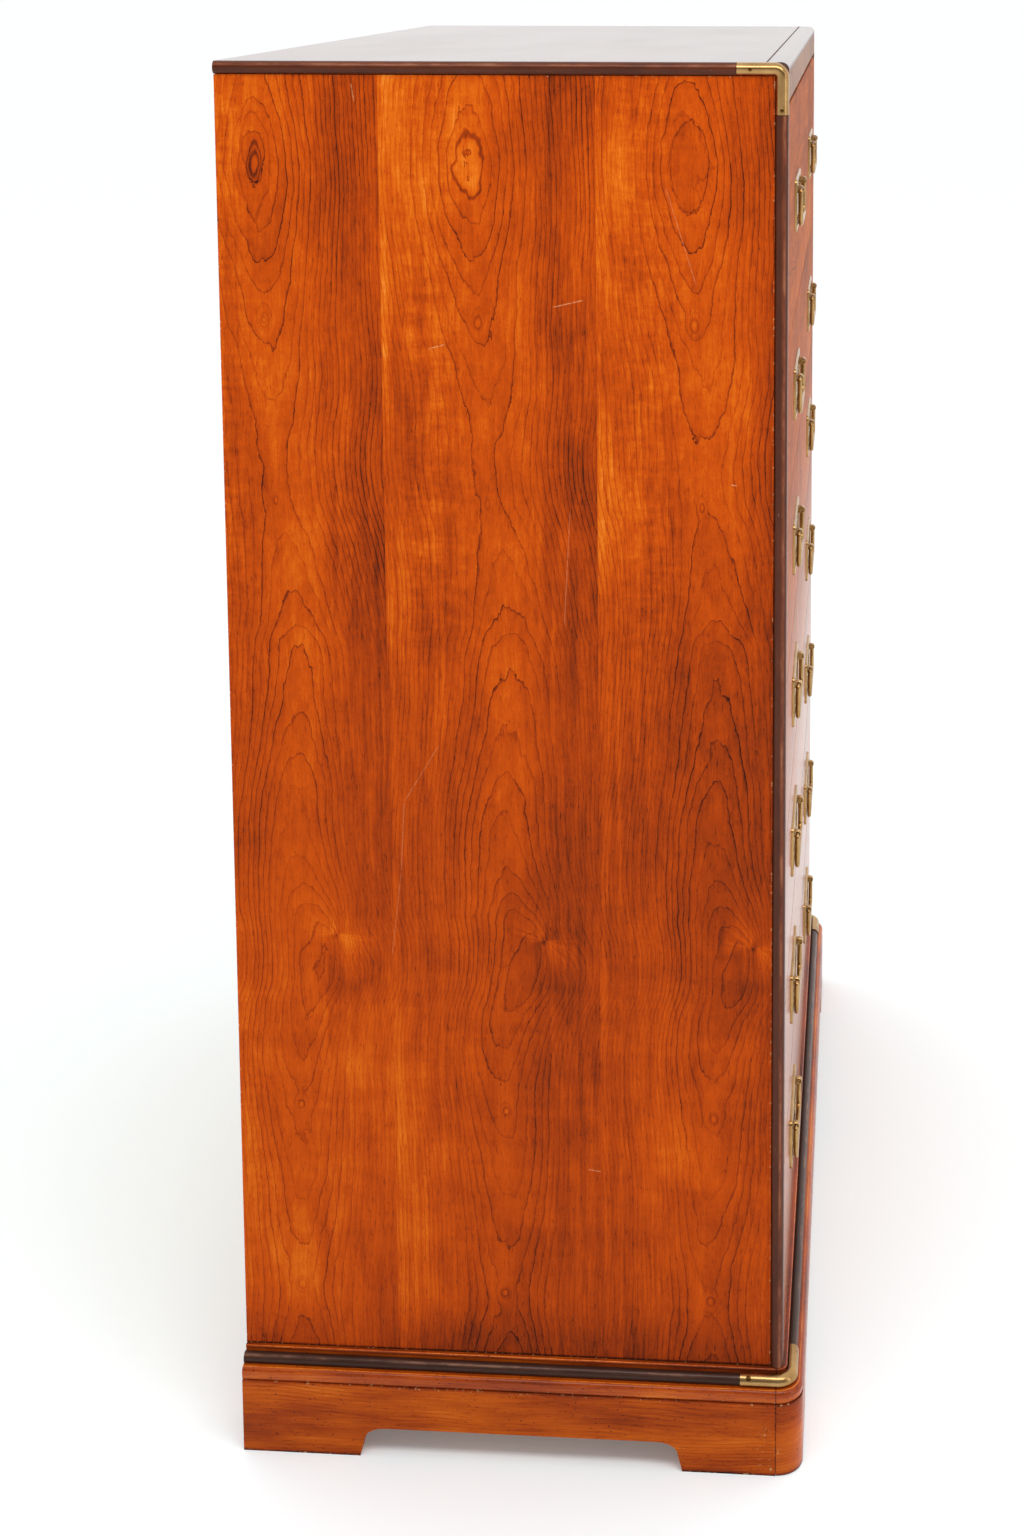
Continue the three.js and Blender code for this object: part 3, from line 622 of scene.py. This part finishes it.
def coordinate(put, label):
    """X, Y or Z of the place on the object, or one of a new piece's own attributes, run and round."""
    if label in "XYZ":
        return object_place(put)["XYZ".index(label) + 1]
    return Pattern(put, put("Attribute", attribute_name=label).outputs["Fac"])


def dark_stain(name, edges, crown, tones):
    """Streaks along the bead over dark brown stain, with a painted highlight along its crown, pale chips
    along its two edges, and painted shade where those edges meet the wood beside it. Edges and crown are
    given as distances round its section."""
    material, put = finish(name)
    run, girth, aside = (coordinate(put, label) for label in ("run", "round", "X"))
    noise = speckles(put, run, girth, aside)
    streak = noise((9, 420, 3), 2.0, 0.55)
    worn = noise((30, 110, 5), 3.0, 0.6)
    # Painted highlight along the crown, broken by wear
    painted_highlight = girth.near(crown, 0.0004, 0.0030) * worn.fade(0.30, 0.65, 0.35, 1.0)
    chip = noise((260, 420, 9))
    to_edge = (girth - edges[0]).size().least((girth - edges[1]).size())
    # Painted shade along both edges, where it meets the wood beside it
    edge = to_edge.fall(0.0002, 0.0014, 0.22)
    chip = (chip + edge).fade(0.75, 0.80)
    hair = noise((24, 1500, 7), 1.0).fade(0.74, 0.80) * worn.fade(0.5, 0.7)
    tone = streak * 0.35 + worn * 0.40 + painted_highlight * 0.42 + chip * 0.6 + hair * 0.25 - edge * 0.6 - 0.02
    colour = ramp_of(put, tone, tones)
    return surfaced(material, put, colour, worn * 0.16 + 0.16, worn - chip * 2.0, 0.10, 0.0002, 0.18)


bead_finish = dark_stain("dark_bead_stain", BEAD_EDGES, TOP_BEAD_HIGHLIGHT, BEAD_TONES)
front_bead_finish = dark_stain("dark_front_bead_stain", BEAD_EDGES, FRONT_BEAD_HIGHLIGHT, BEAD_TONES)
for label, side in SIDES:
    low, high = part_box("top_bead_" + label)
    out = side * BEAD_LINE
    at = [(out, low.y, TOP - BEAD_HALF), (out, high.y, TOP - BEAD_HALF)]
    made("edge_bead_top_" + label, *carried(half_round(BEAD_CROWN), at, [(0, 0, 1)], [(side, 0, 0)]),
         bead_finish, "dark_bead", stands_for=["top_bead_" + label])
    low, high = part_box("corner_bead_" + label)
    at = [(out, FRONT + BEAD_HALF, low.z), (out, FRONT + BEAD_HALF, high.z)]
    made("edge_bead_front_" + label, *carried(half_round(BEAD_CROWN), at, [(0, 1, 0)], [(side, 0, 0)]),
         front_bead_finish, "dark_bead", stands_for=["corner_bead_" + label])


# Brass corners of the top
# The bead's own section cast in brass and carried round the corner in one piece, each arm held by one
# small screw. Satin brass, a little tarnished.

BRASS_ARM = 0.0465
BRASS_CROWN = 0.0068
BRASS_BEND = BEAD_HALF + 0.0009
SCREW_RADIUS = 0.0019
SCREW_SIDES = 28
SCREW_SINK = 0.0002
# The corner's two screws: how far each is behind the front and below the top
CORNER_SCREWS = ((0.0345, BEAD_HALF), (BEAD_HALF, 0.0425))
BRASS_TONES = ((0.0, (0.11, 0.048, 0.012)), (0.35, (0.29, 0.154, 0.050)), (0.65, (0.46, 0.275, 0.108)),
               (1.0, (0.63, 0.425, 0.205)))
# Middles of the screws in these corners and in the base's side arms, with X taken as positive
SCREW_SPOTS = ([(0.5066, FRONT + behind, TOP - below) for behind, below in CORNER_SCREWS]
               + [(0.5119, FRONT + 0.0325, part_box("base_moulding")[0].z + 0.0213)])


def satin_brass():
    """Brass with soft clouds of tarnish, fine random scratches, small dark spots and a dark ring of
    tarnish round each screw."""
    material, put = finish("satin_brass")
    coords, x, y, z = object_place(put)
    mirrored = put("CombineXYZ", {0: x.size(), 1: y, 2: z})
    rings = []
    for centre in SCREW_SPOTS:
        away = put("VectorMath", {0: mirrored, 1: centre}, operation="DISTANCE").outputs["Value"]
        rings.append(Pattern(put, away).fall(0.0021, 0.0029))
    ring = rings[0].most(rings[1]).most(rings[2])
    noise = speckles(put, coords)
    cloud = noise((45, 45, 45), 3.0, 0.55)
    grain = noise((900, 900, 900), 2.0, 0.7)
    rubbed = noise((240, 1500, 240), 1.0)
    spot = noise((420, 420, 420), 1.0).fade(0.72, 0.80)
    tone = cloud * 0.7 + (grain - 0.5) * 0.12 + 0.22 - spot * 0.4 - ring * 0.6
    rough = cloud * 0.14 + spot * 0.2 + 0.19
    colour = ramp_of(put, tone, BRASS_TONES)
    return surfaced(material, put, colour, rough, grain + rubbed * 0.6, 0.04, 0.0001, metal=1.0)


def together(shapes):
    """Several shapes as one: their points in a row, and their faces renumbered to match."""
    points, faces, start = [], [], 0
    for part, sides in shapes:
        points.append(np.reshape(part, (-1, 3)))
        faces += [[corner + start for corner in face] for face in sides]
        start += len(points[-1])
    return np.concatenate(points), faces


def screw_head(centre, slotwise, crosswise, out, radius):
    """Points and faces of a slotted head: two half discs apart by the slot, each a grid from the slot
    to the rim whose height falls from the middle by the square of the distance, over a thin disc."""
    centre, slotwise, crosswise, out = np.array([centre, slotwise, crosswise, out], float)
    gap, tall = radius * 0.16, radius * 0.34
    across, deep = np.meshgrid(np.linspace(-1, 1, 15), np.linspace(0, 1, 6), indexing="ij")
    near = np.arange(across.size).reshape(across.shape)
    quads = np.stack([near[:-1, :-1], near[1:, :-1], near[1:, 1:], near[:-1, 1:]], -1).reshape(-1, 4)
    edge = np.concatenate([near[:, 0], near[-1, 1:], near[-2::-1, -1], near[0, -2:0:-1]])
    walls = np.stack([edge, np.roll(edge, -1), np.roll(edge, -1) + across.size, edge + across.size], -1)
    faces = np.concatenate([quads, quads[:, ::-1] + across.size, walls]).tolist()
    parts = []
    for side in (-1.0, 1.0):
        wide = math.sqrt(radius ** 2 - gap ** 2) * np.sin(across * math.pi / 2)
        rim = np.sqrt(np.maximum(radius ** 2 - wide ** 2, gap ** 2))
        depth = gap + (rim - gap) * deep
        dome = tall * (1.0 - 0.75 * (wide ** 2 + depth ** 2) / radius ** 2)
        ring = centre + wide[..., None] * slotwise + (side * depth)[..., None] * crosswise
        parts.append((np.stack([ring + dome[..., None] * out, ring - 0.3 * tall * out]), faces))
    turn = np.linspace(0, 2 * math.pi, SCREW_SIDES + 1)[:-1]
    rim = centre + 0.98 * radius * (np.cos(turn)[:, None] * slotwise + np.sin(turn)[:, None] * crosswise)
    return together(parts + [skinned(np.stack([rim + 0.08 * tall * out, rim - 0.35 * tall * out]))])


brass_finish = satin_brass()
for label, side in SIDES:
    out = side * BEAD_LINE
    along_y, along_z = FRONT + BEAD_HALF, TOP - BEAD_HALF
    turn = np.radians(np.linspace(90, 180, 19))
    across = np.stack([0 * turn, np.cos(turn), np.sin(turn)], 1)
    bend = (out, along_y + BRASS_BEND, along_z - BRASS_BEND) + BRASS_BEND * across
    at = np.concatenate([[(out, FRONT + BRASS_ARM, along_z)], bend, [(out, along_y, TOP - BRASS_ARM)]])
    across = np.concatenate([across[:1], across, across[-1:]])
    made("brass_corner_top_" + label, *carried(half_round(BRASS_CROWN), at, across, [(side, 0, 0)]),
         brass_finish, "brass", stands_for=["corner_bracket_" + label])
    crown = out + side * (BRASS_CROWN - SCREW_SINK)
    for number, (behind, below) in enumerate(CORNER_SCREWS, 1):
        head = screw_head((crown, FRONT + behind, TOP - below), (0, 0.8, 0.6), (0, -0.6, 0.8),
                          (side, 0, 0), SCREW_RADIUS)
        made(f"brass_corner_top_{label}_screw_{number}", *head, brass_finish, "brass", crease=40.0)


# Plinth
# Solid cherry boards on four shaped feet, mitred and blocked at the back, with rounded blocks worked
# on the ends of the front board. Stained and lacquered, then lightly distressed with pits and chips.

PLINTH_TONES = ((0.0, (0.035, 0.008, 0.004)), (0.25, (0.16, 0.024, 0.005)), (0.5, (0.34, 0.048, 0.004)),
                (0.75, (0.52, 0.095, 0.005)), (1.0, (0.70, 0.20, 0.018)))
PLINTH_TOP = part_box("plinth_front")[1].z
PLINTH_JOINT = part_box("plinth_frame")[0].y
PLINTH_CORNER = 0.025
BOARD = 0.018
EASE = 0.0012
FOOT = 0.111
FOOT_LEAN = 0.0045
FOOT_STRAIGHT = 0.0175
ARCH_RISE = 0.0115
ARCH_RUN = 0.020
CHIP_TONE = (0.52, 0.28, 0.12, 1)


def solid_cherry(name, along, height, depth, sheen=0.08, rough=0.22, highlight_lines=()):
    """Solid cherry with its grain along one way: given are the names of its coordinates along the grain,
    in height across it, and from board to board. It is darker near the floor, a painted shadow, and at
    the groove where plinth and moulding meet, partly grime and partly painted shade. At the highlight
    lines, which are heights too, a thin painted highlight runs with painted shade just under it, and
    beyond the last of them it is darker."""
    material, put = finish(name)
    run, rise, aside = (coordinate(put, label) for label in (along, height, depth))
    noise = speckles(put, run, rise, aside)
    rings = (rise + (noise((4, 11, 3)) - 0.5) * 0.035) * 260.0
    line = rings.fraction().fade(0.60, 0.98) * noise((9, 30, 3), 1.0).fade(0.3, 0.7)
    fibre = noise((26, 800, 5), 2.0, 0.65)
    cloud = noise((7, 22, 4))
    pit = noise((380, 460, 9), 1.0).fade(0.715, 0.745)
    flame = noise((11, 95, 4), 3.0, 0.6)
    dash = noise((110, 900, 5), 1.0).fade(0.62, 0.72)
    tone = (cloud - 0.5) * 1.1 + (fibre - 0.5) * 0.36 + (flame - 0.5) * 0.65 + 0.605
    coords, _, y, z = object_place(put)
    ragged = speckles(put, coords)((240, 240, 300), 3.0, 0.65)
    to_edge = z.least((z - PLINTH_TOP).size())
    chip = (to_edge - ragged * 0.0024).fade(0.0003, -0.0003) * ragged.fade(0.60, 0.65)
    joint = y.near(PLINTH_JOINT, 0.0002, 0.0009) * ragged.fade(0.4, 0.6, 0.15, 0.45)
    # Painted shadow along the floor, and darker where plinth and moulding meet at the groove, partly
    # grime and partly painted shade
    dim = to_edge.fall(0.0, 0.0025, 0.22) + z.fall(0.0, 0.005, 0.30)
    tone = tone - line * 0.16 - dash * 0.16 - pit * 0.5 - dim - joint
    glint = y.near(PLINTH_JOINT + 0.006, 0.004, 0.014) * z.fall(0.040, 0.055)
    chip = chip.most(glint * ragged.fade(0.62, 0.66))
    # Painted highlight along each line, with painted shade just under it
    for crown in highlight_lines:
        rubbed = rise.near(crown, 0.0001, 0.0008) * ragged.fade(0.3, 0.6, 0.3, 1.0)
        below = rise.near(crown - 0.004, 0.0005, 0.0040, 0.08)
        tone = tone + rubbed * 0.45 - below
    if highlight_lines:
        tone = tone - rise.fade(highlight_lines[-1] - 0.0049, highlight_lines[-1] - 0.0019, 0.0, 0.21)
    colour = mixed(put, chip, ramp_of(put, tone, PLINTH_TONES), CHIP_TONE)
    return surfaced(material, put, colour, fibre * 0.08 + chip * 0.3 + rough,
                    fibre * 0.5 - pit * 3.0 - chip * 2.0, 0.15, 0.0003, sheen)


def arch_height(foot, place):
    """Underside of a footed board at a distance place from its middle, where foot is the distance to
    the feet: zero over a foot, a steep straight up its edge, then a quarter ellipse to the level."""
    within = foot - place
    straight = np.clip(within / FOOT_LEAN, 0, 1) * FOOT_STRAIGHT
    bend = np.clip((within - FOOT_LEAN) / ARCH_RUN, 0, 1)
    return straight + ARCH_RISE * np.sqrt(1 - (1 - bend) ** 2) * (within > FOOT_LEAN)


def plinth_front_board():
    """A closed section carried along the board's plan: its face follows a straight with a quarter
    circle at each end, and the section's lower edge follows the arch."""
    low, high = (np.array(corner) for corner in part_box("plinth_front"))
    bend = high[0] - PLINTH_CORNER
    foot = high[0] - FOOT
    arch = FOOT_LEAN + ARCH_RUN * (1 - np.cos(np.radians(np.linspace(9, 90, 10))))
    edge = np.concatenate([[0.0001, 0.0012, 0.0024, 0.0036, FOOT_LEAN], arch, [0.1]])
    flat = np.unique(np.concatenate([foot - edge, [foot + 0.0001, foot + 0.02, bend],
                                     np.linspace(0, 0.26, 6)]))
    turn = np.radians(np.linspace(0, 90, 17))[1:]
    right = np.concatenate([flat, bend + 0 * turn])
    lean = np.concatenate([0 * flat, turn])
    centre = np.concatenate([-right[::-1], right[1:]])
    lean = np.concatenate([-lean[::-1], lean[1:]])
    away = np.stack([np.sin(lean), -np.cos(lean)], 1)
    face = np.stack([centre, 0 * centre + low[1] + PLINTH_CORNER], 1) + away * PLINTH_CORNER
    under = arch_height(foot, np.abs(face[:, 0]))
    rows = []
    for inward, rise, level in ((BOARD, 0, 1), (BOARD, 0, 0), (EASE, 0, 0), (0.3 * EASE, 0.3 * EASE, 0),
                                (0, EASE, 0), (0, 0, 1)):
        spot = face - away * inward
        z = (under + rise) * (1 - level) + high[2] * level
        rows.append(np.concatenate([spot, z[:, None]], 1))
    made("plinth_front_board", *skinned(np.stack(rows, 1)),
         solid_cherry("cherry_plinth_front", "run", "Z", "Y"), "cherry_solid",
         stands_for=["plinth_front"], crease=28.0)


plinth_front_board()
dress("plinth_frame", solid_cherry("cherry_plinth_sides", "Y", "Z", "X"))


# Base moulding
# One solid cherry moulding mitred round the front and sides: a groove, a broad rounded lip, a sloped
# seat for the dark half-round strand, and a thin upper lip under the carcass.

CARCASS_HALF = 0.5
CARCASS_CORNER = 0.006
MOULDING_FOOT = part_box("base_moulding")[0].z
PLINTH_OUT = 0.019
MOULDING_SEAT = 0.005
GROOVE = 0.0016
LIP = 0.0052
UPPER_LIP = 0.0014
STRAND = 0.0056
STRAND_OUT = 0.0072
STRAND_RISE = 0.0166
MOULDING_TALL = 0.0263
# Distances round the sections: of the painted highlight lines near the two lips' tops, and of the
# strand's edges and its painted highlight line
LIP_HIGHLIGHTS = (0.0372, 0.0594)
STRAND_EDGES = (0.0031, 0.0205)
STRAND_HIGHLIGHT = 0.0122
STRAND_TONES = ((0.0, (0.014, 0.006, 0.004)), (0.4, (0.045, 0.018, 0.011)), (0.7, (0.085, 0.035, 0.022)),
                (1.0, (0.30, 0.14, 0.07)))


def round_the_base():
    """Stations along the left side, round the two front corners and back along the right side. Each
    has a place on the carcass's own line and the direction out from it."""
    reach_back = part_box("base_moulding")[1].y
    turn = np.radians(np.linspace(0, 90, 13))
    left = np.stack([-np.cos(turn), -np.sin(turn)], 1)
    right = np.stack([np.sin(turn), -np.cos(turn)], 1)
    centre = np.array([CARCASS_HALF - CARCASS_CORNER, FRONT + CARCASS_CORNER])
    places = np.concatenate([[(-CARCASS_HALF, reach_back)], centre * (-1, 1) + CARCASS_CORNER * left,
                             centre + CARCASS_CORNER * right, [(CARCASS_HALF, reach_back)]])
    ways = np.concatenate([left[:1], left, right, right[-1:]])
    lift = np.full((len(places), 1), MOULDING_FOOT)
    return np.concatenate([places, lift], 1), np.concatenate([ways, 0 * lift], 1)


def base_moulding():
    """The moulding's section, from under its seat outwards and up, carried round the base."""
    slope = STRAND * math.sqrt(0.5)
    lip_top = STRAND_RISE - slope
    section = np.concatenate([
        [(-MOULDING_SEAT, 0), (PLINTH_OUT - GROOVE, 0), (PLINTH_OUT - GROOVE, 0.0017),
         (PLINTH_OUT - 0.0004, 0.0020)],
        bow((PLINTH_OUT - LIP, lip_top - LIP), LIP, -12, 90, 14),
        [(STRAND_OUT + slope, lip_top), (STRAND_OUT - slope, STRAND_RISE + slope - 0.0006),
         (STRAND_OUT - slope - 0.0006, MOULDING_TALL - 0.0024)],
        bow((0.0024, MOULDING_TALL - UPPER_LIP), UPPER_LIP, -30, 90, 7),
        [(-MOULDING_SEAT, MOULDING_TALL)]])
    wood = solid_cherry("cherry_moulding", "run", "round", "X", sheen=0.22, rough=0.14, highlight_lines=LIP_HIGHLIGHTS)
    made("base_moulding_lips", *carried(section, *round_the_base(), [(0, 0, 1)]), wood, "cherry_solid",
         stands_for=["base_moulding"])


def base_strand():
    """Two thirds of a circle, open towards the moulding's seat, carried round the base."""
    section = bow((STRAND_OUT, STRAND_RISE), STRAND, -75, 165, 24)
    stain = dark_stain("dark_strand_stain", STRAND_EDGES, STRAND_HIGHLIGHT, STRAND_TONES)
    made("base_strand", *carried(section, *round_the_base(), [(0, 0, 1)]), stain, "dark_bead")


base_moulding()
base_strand()


# Brass corners of the base
# Cast shells over the dark strand at the two front corners, of the same satin brass as the top's
# corners. Each arm is held by one small screw.

BASE_ARM = 0.0345
SHELL_GAP = 0.0002
SHELL = 0.001
BASE_SCREW_IN = 0.008
BASE_SCREW_RADIUS = 0.0018

for label, side in SIDES:
    inner = STRAND + SHELL_GAP
    section = np.concatenate([bow((STRAND_OUT, STRAND_RISE), inner + SHELL, -16, 106, 20),
                              bow((STRAND_OUT, STRAND_RISE), inner, 108, -18, 20)])
    turn = np.radians(np.linspace(0, 90, 15))
    ways = np.stack([side * np.cos(turn), -np.sin(turn), 0 * turn], 1)
    bend = np.array([side * (CARCASS_HALF - CARCASS_CORNER), FRONT + CARCASS_CORNER, MOULDING_FOOT])
    bend = bend + CARCASS_CORNER * ways
    at = np.concatenate([bend[:1] + (0, BASE_ARM, 0), bend, bend[-1:] - (side * BASE_ARM, 0, 0)])
    ways = np.concatenate([ways[:1], ways, ways[-1:]])
    made("brass_corner_base_" + label, *carried(section, at, ways, [(0, 0, 1)]), brass_finish, "brass",
         stands_for=["base_bracket_" + label])
    slant = math.sqrt(0.5)
    for number, (place, way) in enumerate(((at[0] - (0, BASE_SCREW_IN, 0), ways[0]),
                                           (at[-1] + (side * BASE_SCREW_IN, 0, 0), ways[-1])), 1):
        out = (way + (0, 0, 1)) * slant
        down = (way - (0, 0, 1)) * slant
        centre = place + way * STRAND_OUT + (0, 0, STRAND_RISE) + out * (inner + SHELL - SCREW_SINK)
        head = screw_head(centre, np.cross(out, down), down, out, BASE_SCREW_RADIUS)
        made(f"brass_corner_base_{label}_screw_{number}", *head, brass_finish, "brass", crease=40.0)


# Drawers
# Seven boxes of pale wood with a thin lacquer, each behind a veneered front board whose figure runs
# along the drawer, with slightly eased edges. The rail under the lowest front is veneered alike.

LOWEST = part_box("drawer_front_7")[0].z
DRAWER_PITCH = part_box("drawer_front_6")[0].z - LOWEST
BOX_WALL = 0.0122
# Where a front's lower left end lies on the leaf it is cut from
CUT_ACROSS = 0.03
CUT_UP = 0.66
# The sides' stain, darker and browner: painted shade on the fronts
SHADED_FRONT_TONES = ((0.0, (0.07, 0.017, 0.005)), (0.4, (0.33, 0.071, 0.010)), (0.6, (0.47, 0.110, 0.015)),
               (0.8, (0.60, 0.172, 0.026)), (1.0, (0.77, 0.30, 0.06)))


def cherry_fronts():
    """The side panels' veneer laid along the drawers: across is the height over each drawer's edge. Its
    stain is a darker, browner copy of the sides', painted shade. The lacquer is duller towards the top."""
    material, put = finish("cherry_fronts")
    x, _, z = object_place(put)[1:]
    height = z - (LOWEST - 0.001)
    leaf = (height / DRAWER_PITCH).whole().least(6.0)
    across = height - leaf * DRAWER_PITCH + CUT_ACROSS
    dull = z.fade(0.45, 1.15, 0.10, 0.60)
    return veneered(material, put, across, x + CUT_UP, leaf, 9.0, sheen=0.26, dull=dull,
                    tones=SHADED_FRONT_TONES)


front_finish = cherry_fronts()
box_finish = pale_wood("drawer_box_wood", (0, 1, 1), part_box("drawer_box_7")[1].x - BOX_WALL)
dress("bottom_rail", front_finish)
for number in range(1, 8):
    dress(f"drawer_front_{number}", front_finish)
    dress(f"drawer_box_{number}", box_finish)


# Pulls
# Each is a cast brass plate with a shallow well, two ears and four slotted screws, and a bail: one
# rod bent to a square loop, whose turned-in ends are its pins.

PLATE_HALF = (0.062, 0.026)
PLATE_THICK = 0.0024
PLATE_CORNER = 0.005
WELL_RIM = 0.005
WELL_DEPTH = 0.0011
PIVOT_OUT = PLATE_THICK + 0.0033
PIVOT_RISE = 0.015
EAR_APART = 0.0456
EAR_HALF = 0.0031
EAR_RADIUS = 0.0036
EAR_CHAMFER = 0.0005
HOLE_CHAMFER = 0.0003
PIN = 0.0018
PIN_HOLE = 0.00225
ROD = 0.0025
ROD_OUT = 0.052
SHOULDER = 0.0028
DROP = 0.034
DROP_CORNER = 0.009
PLATE_SCREWS = (0.034, 0.0125)
PLATE_SCREW_RADIUS = 0.0026


def rounded_loop(half_wide, half_tall, radius):
    """Points round a rectangle with rounded corners: each corner's centre plus radius times (cosine,
    sine) of a quarter turn."""
    corners = []
    for number, (right, up) in enumerate(((1, 1), (-1, 1), (-1, -1), (1, -1))):
        centre = (right * (half_wide - radius), up * (half_tall - radius))
        corners.append(bow(centre, radius, 90 * number, 90 * number + 90, 7))
    return np.concatenate(corners)


def pull_plate(centre_x, centre_z):
    """Nested rounded rectangles, each with its own size and distance out from the drawer: up the edge,
    over the rim and down into the well. The last one is filled as the well's floor. Each ear is a
    band round its pin hole: its outer edge is a circle towards the front and straight towards the
    plate, and the band's section has small chamfers."""
    rings = ((0.0, PLATE_CORNER, 0.0), (0.0, PLATE_CORNER, PLATE_THICK - 0.0007),
             (0.0002, PLATE_CORNER - 0.0002, PLATE_THICK - 0.0002),
             (0.0007, PLATE_CORNER - 0.0005, PLATE_THICK),
             (WELL_RIM - 0.0004, PLATE_CORNER + 0.0004, PLATE_THICK),
             (WELL_RIM - 0.0001, PLATE_CORNER, PLATE_THICK - 0.0003),
             (WELL_RIM, PLATE_CORNER, PLATE_THICK - WELL_DEPTH + 0.0003),
             (WELL_RIM + 0.0004, PLATE_CORNER - 0.0003, PLATE_THICK - WELL_DEPTH))
    rows = []
    for inset, corner, out in rings:
        loop = rounded_loop(PLATE_HALF[0] - inset, PLATE_HALF[1] - inset, corner)
        y = 0 * loop[:, 0] + FRONT - out
        rows.append(np.stack([centre_x + loop[:, 0], y, centre_z + loop[:, 1]], 1))
    shapes = [skinned(np.stack(rows))]
    turn = np.radians(np.linspace(0, 360, 41))[:-1]
    reach_in = PIVOT_OUT - PLATE_THICK + WELL_DEPTH + 0.0005
    outline = np.minimum(EAR_RADIUS / np.maximum(np.abs(np.sin(turn)), 1e-6),
                         reach_in / np.maximum(np.cos(turn), 1e-6))
    outline = np.where(np.cos(turn) <= 0, EAR_RADIUS, outline)
    hole = np.full_like(turn, PIN_HOLE)
    band = ((-EAR_HALF, outline - EAR_CHAMFER), (EAR_CHAMFER - EAR_HALF, outline),
            (EAR_HALF - EAR_CHAMFER, outline), (EAR_HALF, outline - EAR_CHAMFER),
            (EAR_HALF, hole + HOLE_CHAMFER), (EAR_HALF - HOLE_CHAMFER, hole),
            (HOLE_CHAMFER - EAR_HALF, hole), (-EAR_HALF, hole + HOLE_CHAMFER))
    near = np.arange(len(band) * len(turn)).reshape(len(band), -1)
    for side in (-1, 1):
        rows = []
        for shift, radius in band:
            x = 0 * turn + centre_x + side * EAR_APART + shift
            y = FRONT - PIVOT_OUT + radius * np.cos(turn)
            rows.append(np.stack([x, y, centre_z + PIVOT_RISE + radius * np.sin(turn)], 1))
        shapes.append((np.stack(rows), joined(np.concatenate([near, near[:1]]))))
    return together(shapes)


def pull_screws(centre_x, centre_z):
    """Four heads on the well's floor, each with its slot turned to an angle of its own."""
    heads = []
    for number, (side, up) in enumerate(((-1, 1), (1, 1), (-1, -1), (1, -1))):
        angle = math.radians(25 + 50 * number + 400 * centre_z)
        centre = (centre_x + side * PLATE_SCREWS[0], FRONT - PLATE_THICK + WELL_DEPTH - SCREW_SINK,
                  centre_z + up * PLATE_SCREWS[1])
        slotwise = (math.cos(angle), 0, math.sin(angle))
        crosswise = (-math.sin(angle), 0, math.cos(angle))
        heads.append(screw_head(centre, slotwise, crosswise, (0, -1, 0), PLATE_SCREW_RADIUS))
    return together(heads)


def pull_bail(centre_x, centre_z):
    """A circle carried along the loop: pin, shoulder bend, arm, corner, and so on round to the other
    pin. The angle of the path turns by 90 degrees in each bend, and the rod thins to the pins."""
    bend = np.radians(np.linspace(0, 90, 9))
    pin = np.array([EAR_APART - EAR_HALF + 0.0005, EAR_APART + EAR_HALF + 0.0005])
    x = np.concatenate([pin[:1], pin[1] + SHOULDER * np.sin(bend),
                        ROD_OUT - DROP_CORNER * (1 - np.cos(bend))])
    z = np.concatenate([[0.0], SHOULDER * (np.cos(bend) - 1), DROP_CORNER * (1 - np.sin(bend)) - DROP])
    angle = np.concatenate([[0.0], bend, math.pi / 2 + bend])
    girth = np.concatenate([[PIN], np.linspace(PIN, ROD, 9), np.full(9, ROD)])
    x, z = np.concatenate([x, -x[::-1]]), np.concatenate([z, z[::-1]])
    angle = np.concatenate([angle, 2 * math.pi - angle[::-1]])
    girth = np.concatenate([girth, girth[::-1]])
    at = np.stack([centre_x + x, 0 * x + FRONT - PIVOT_OUT, centre_z + PIVOT_RISE + z], 1)
    across = np.stack([np.sin(angle), 0 * angle, np.cos(angle)], 1)
    circle = bow((0, 0), 1.0, 0, 345, 23)[None] * girth[:, None, None]
    return carried(circle, at, across, [(0, 1, 0)])


for number in range(1, 8):
    for label in ("left", "right"):
        plate = f"pull_plate_{number}_{label}"
        low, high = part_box(plate)
        centre = ((low.x + high.x) / 2, (low.z + high.z) / 2)
        made(f"plate_{number}_{label}", *pull_plate(*centre), brass_finish, "brass",
             body=f"drawer_{number}", stands_for=[plate], crease=40.0)
        made(f"screws_{number}_{label}", *pull_screws(*centre), brass_finish, "brass",
             body=f"drawer_{number}", crease=40.0)
        made(f"bail_{number}_{label}", *pull_bail(*centre), brass_finish, "brass",
             body=f"bail_{number}_{label}", stands_for=[f"pull_bail_{number}_{label}"], crease=60.0)
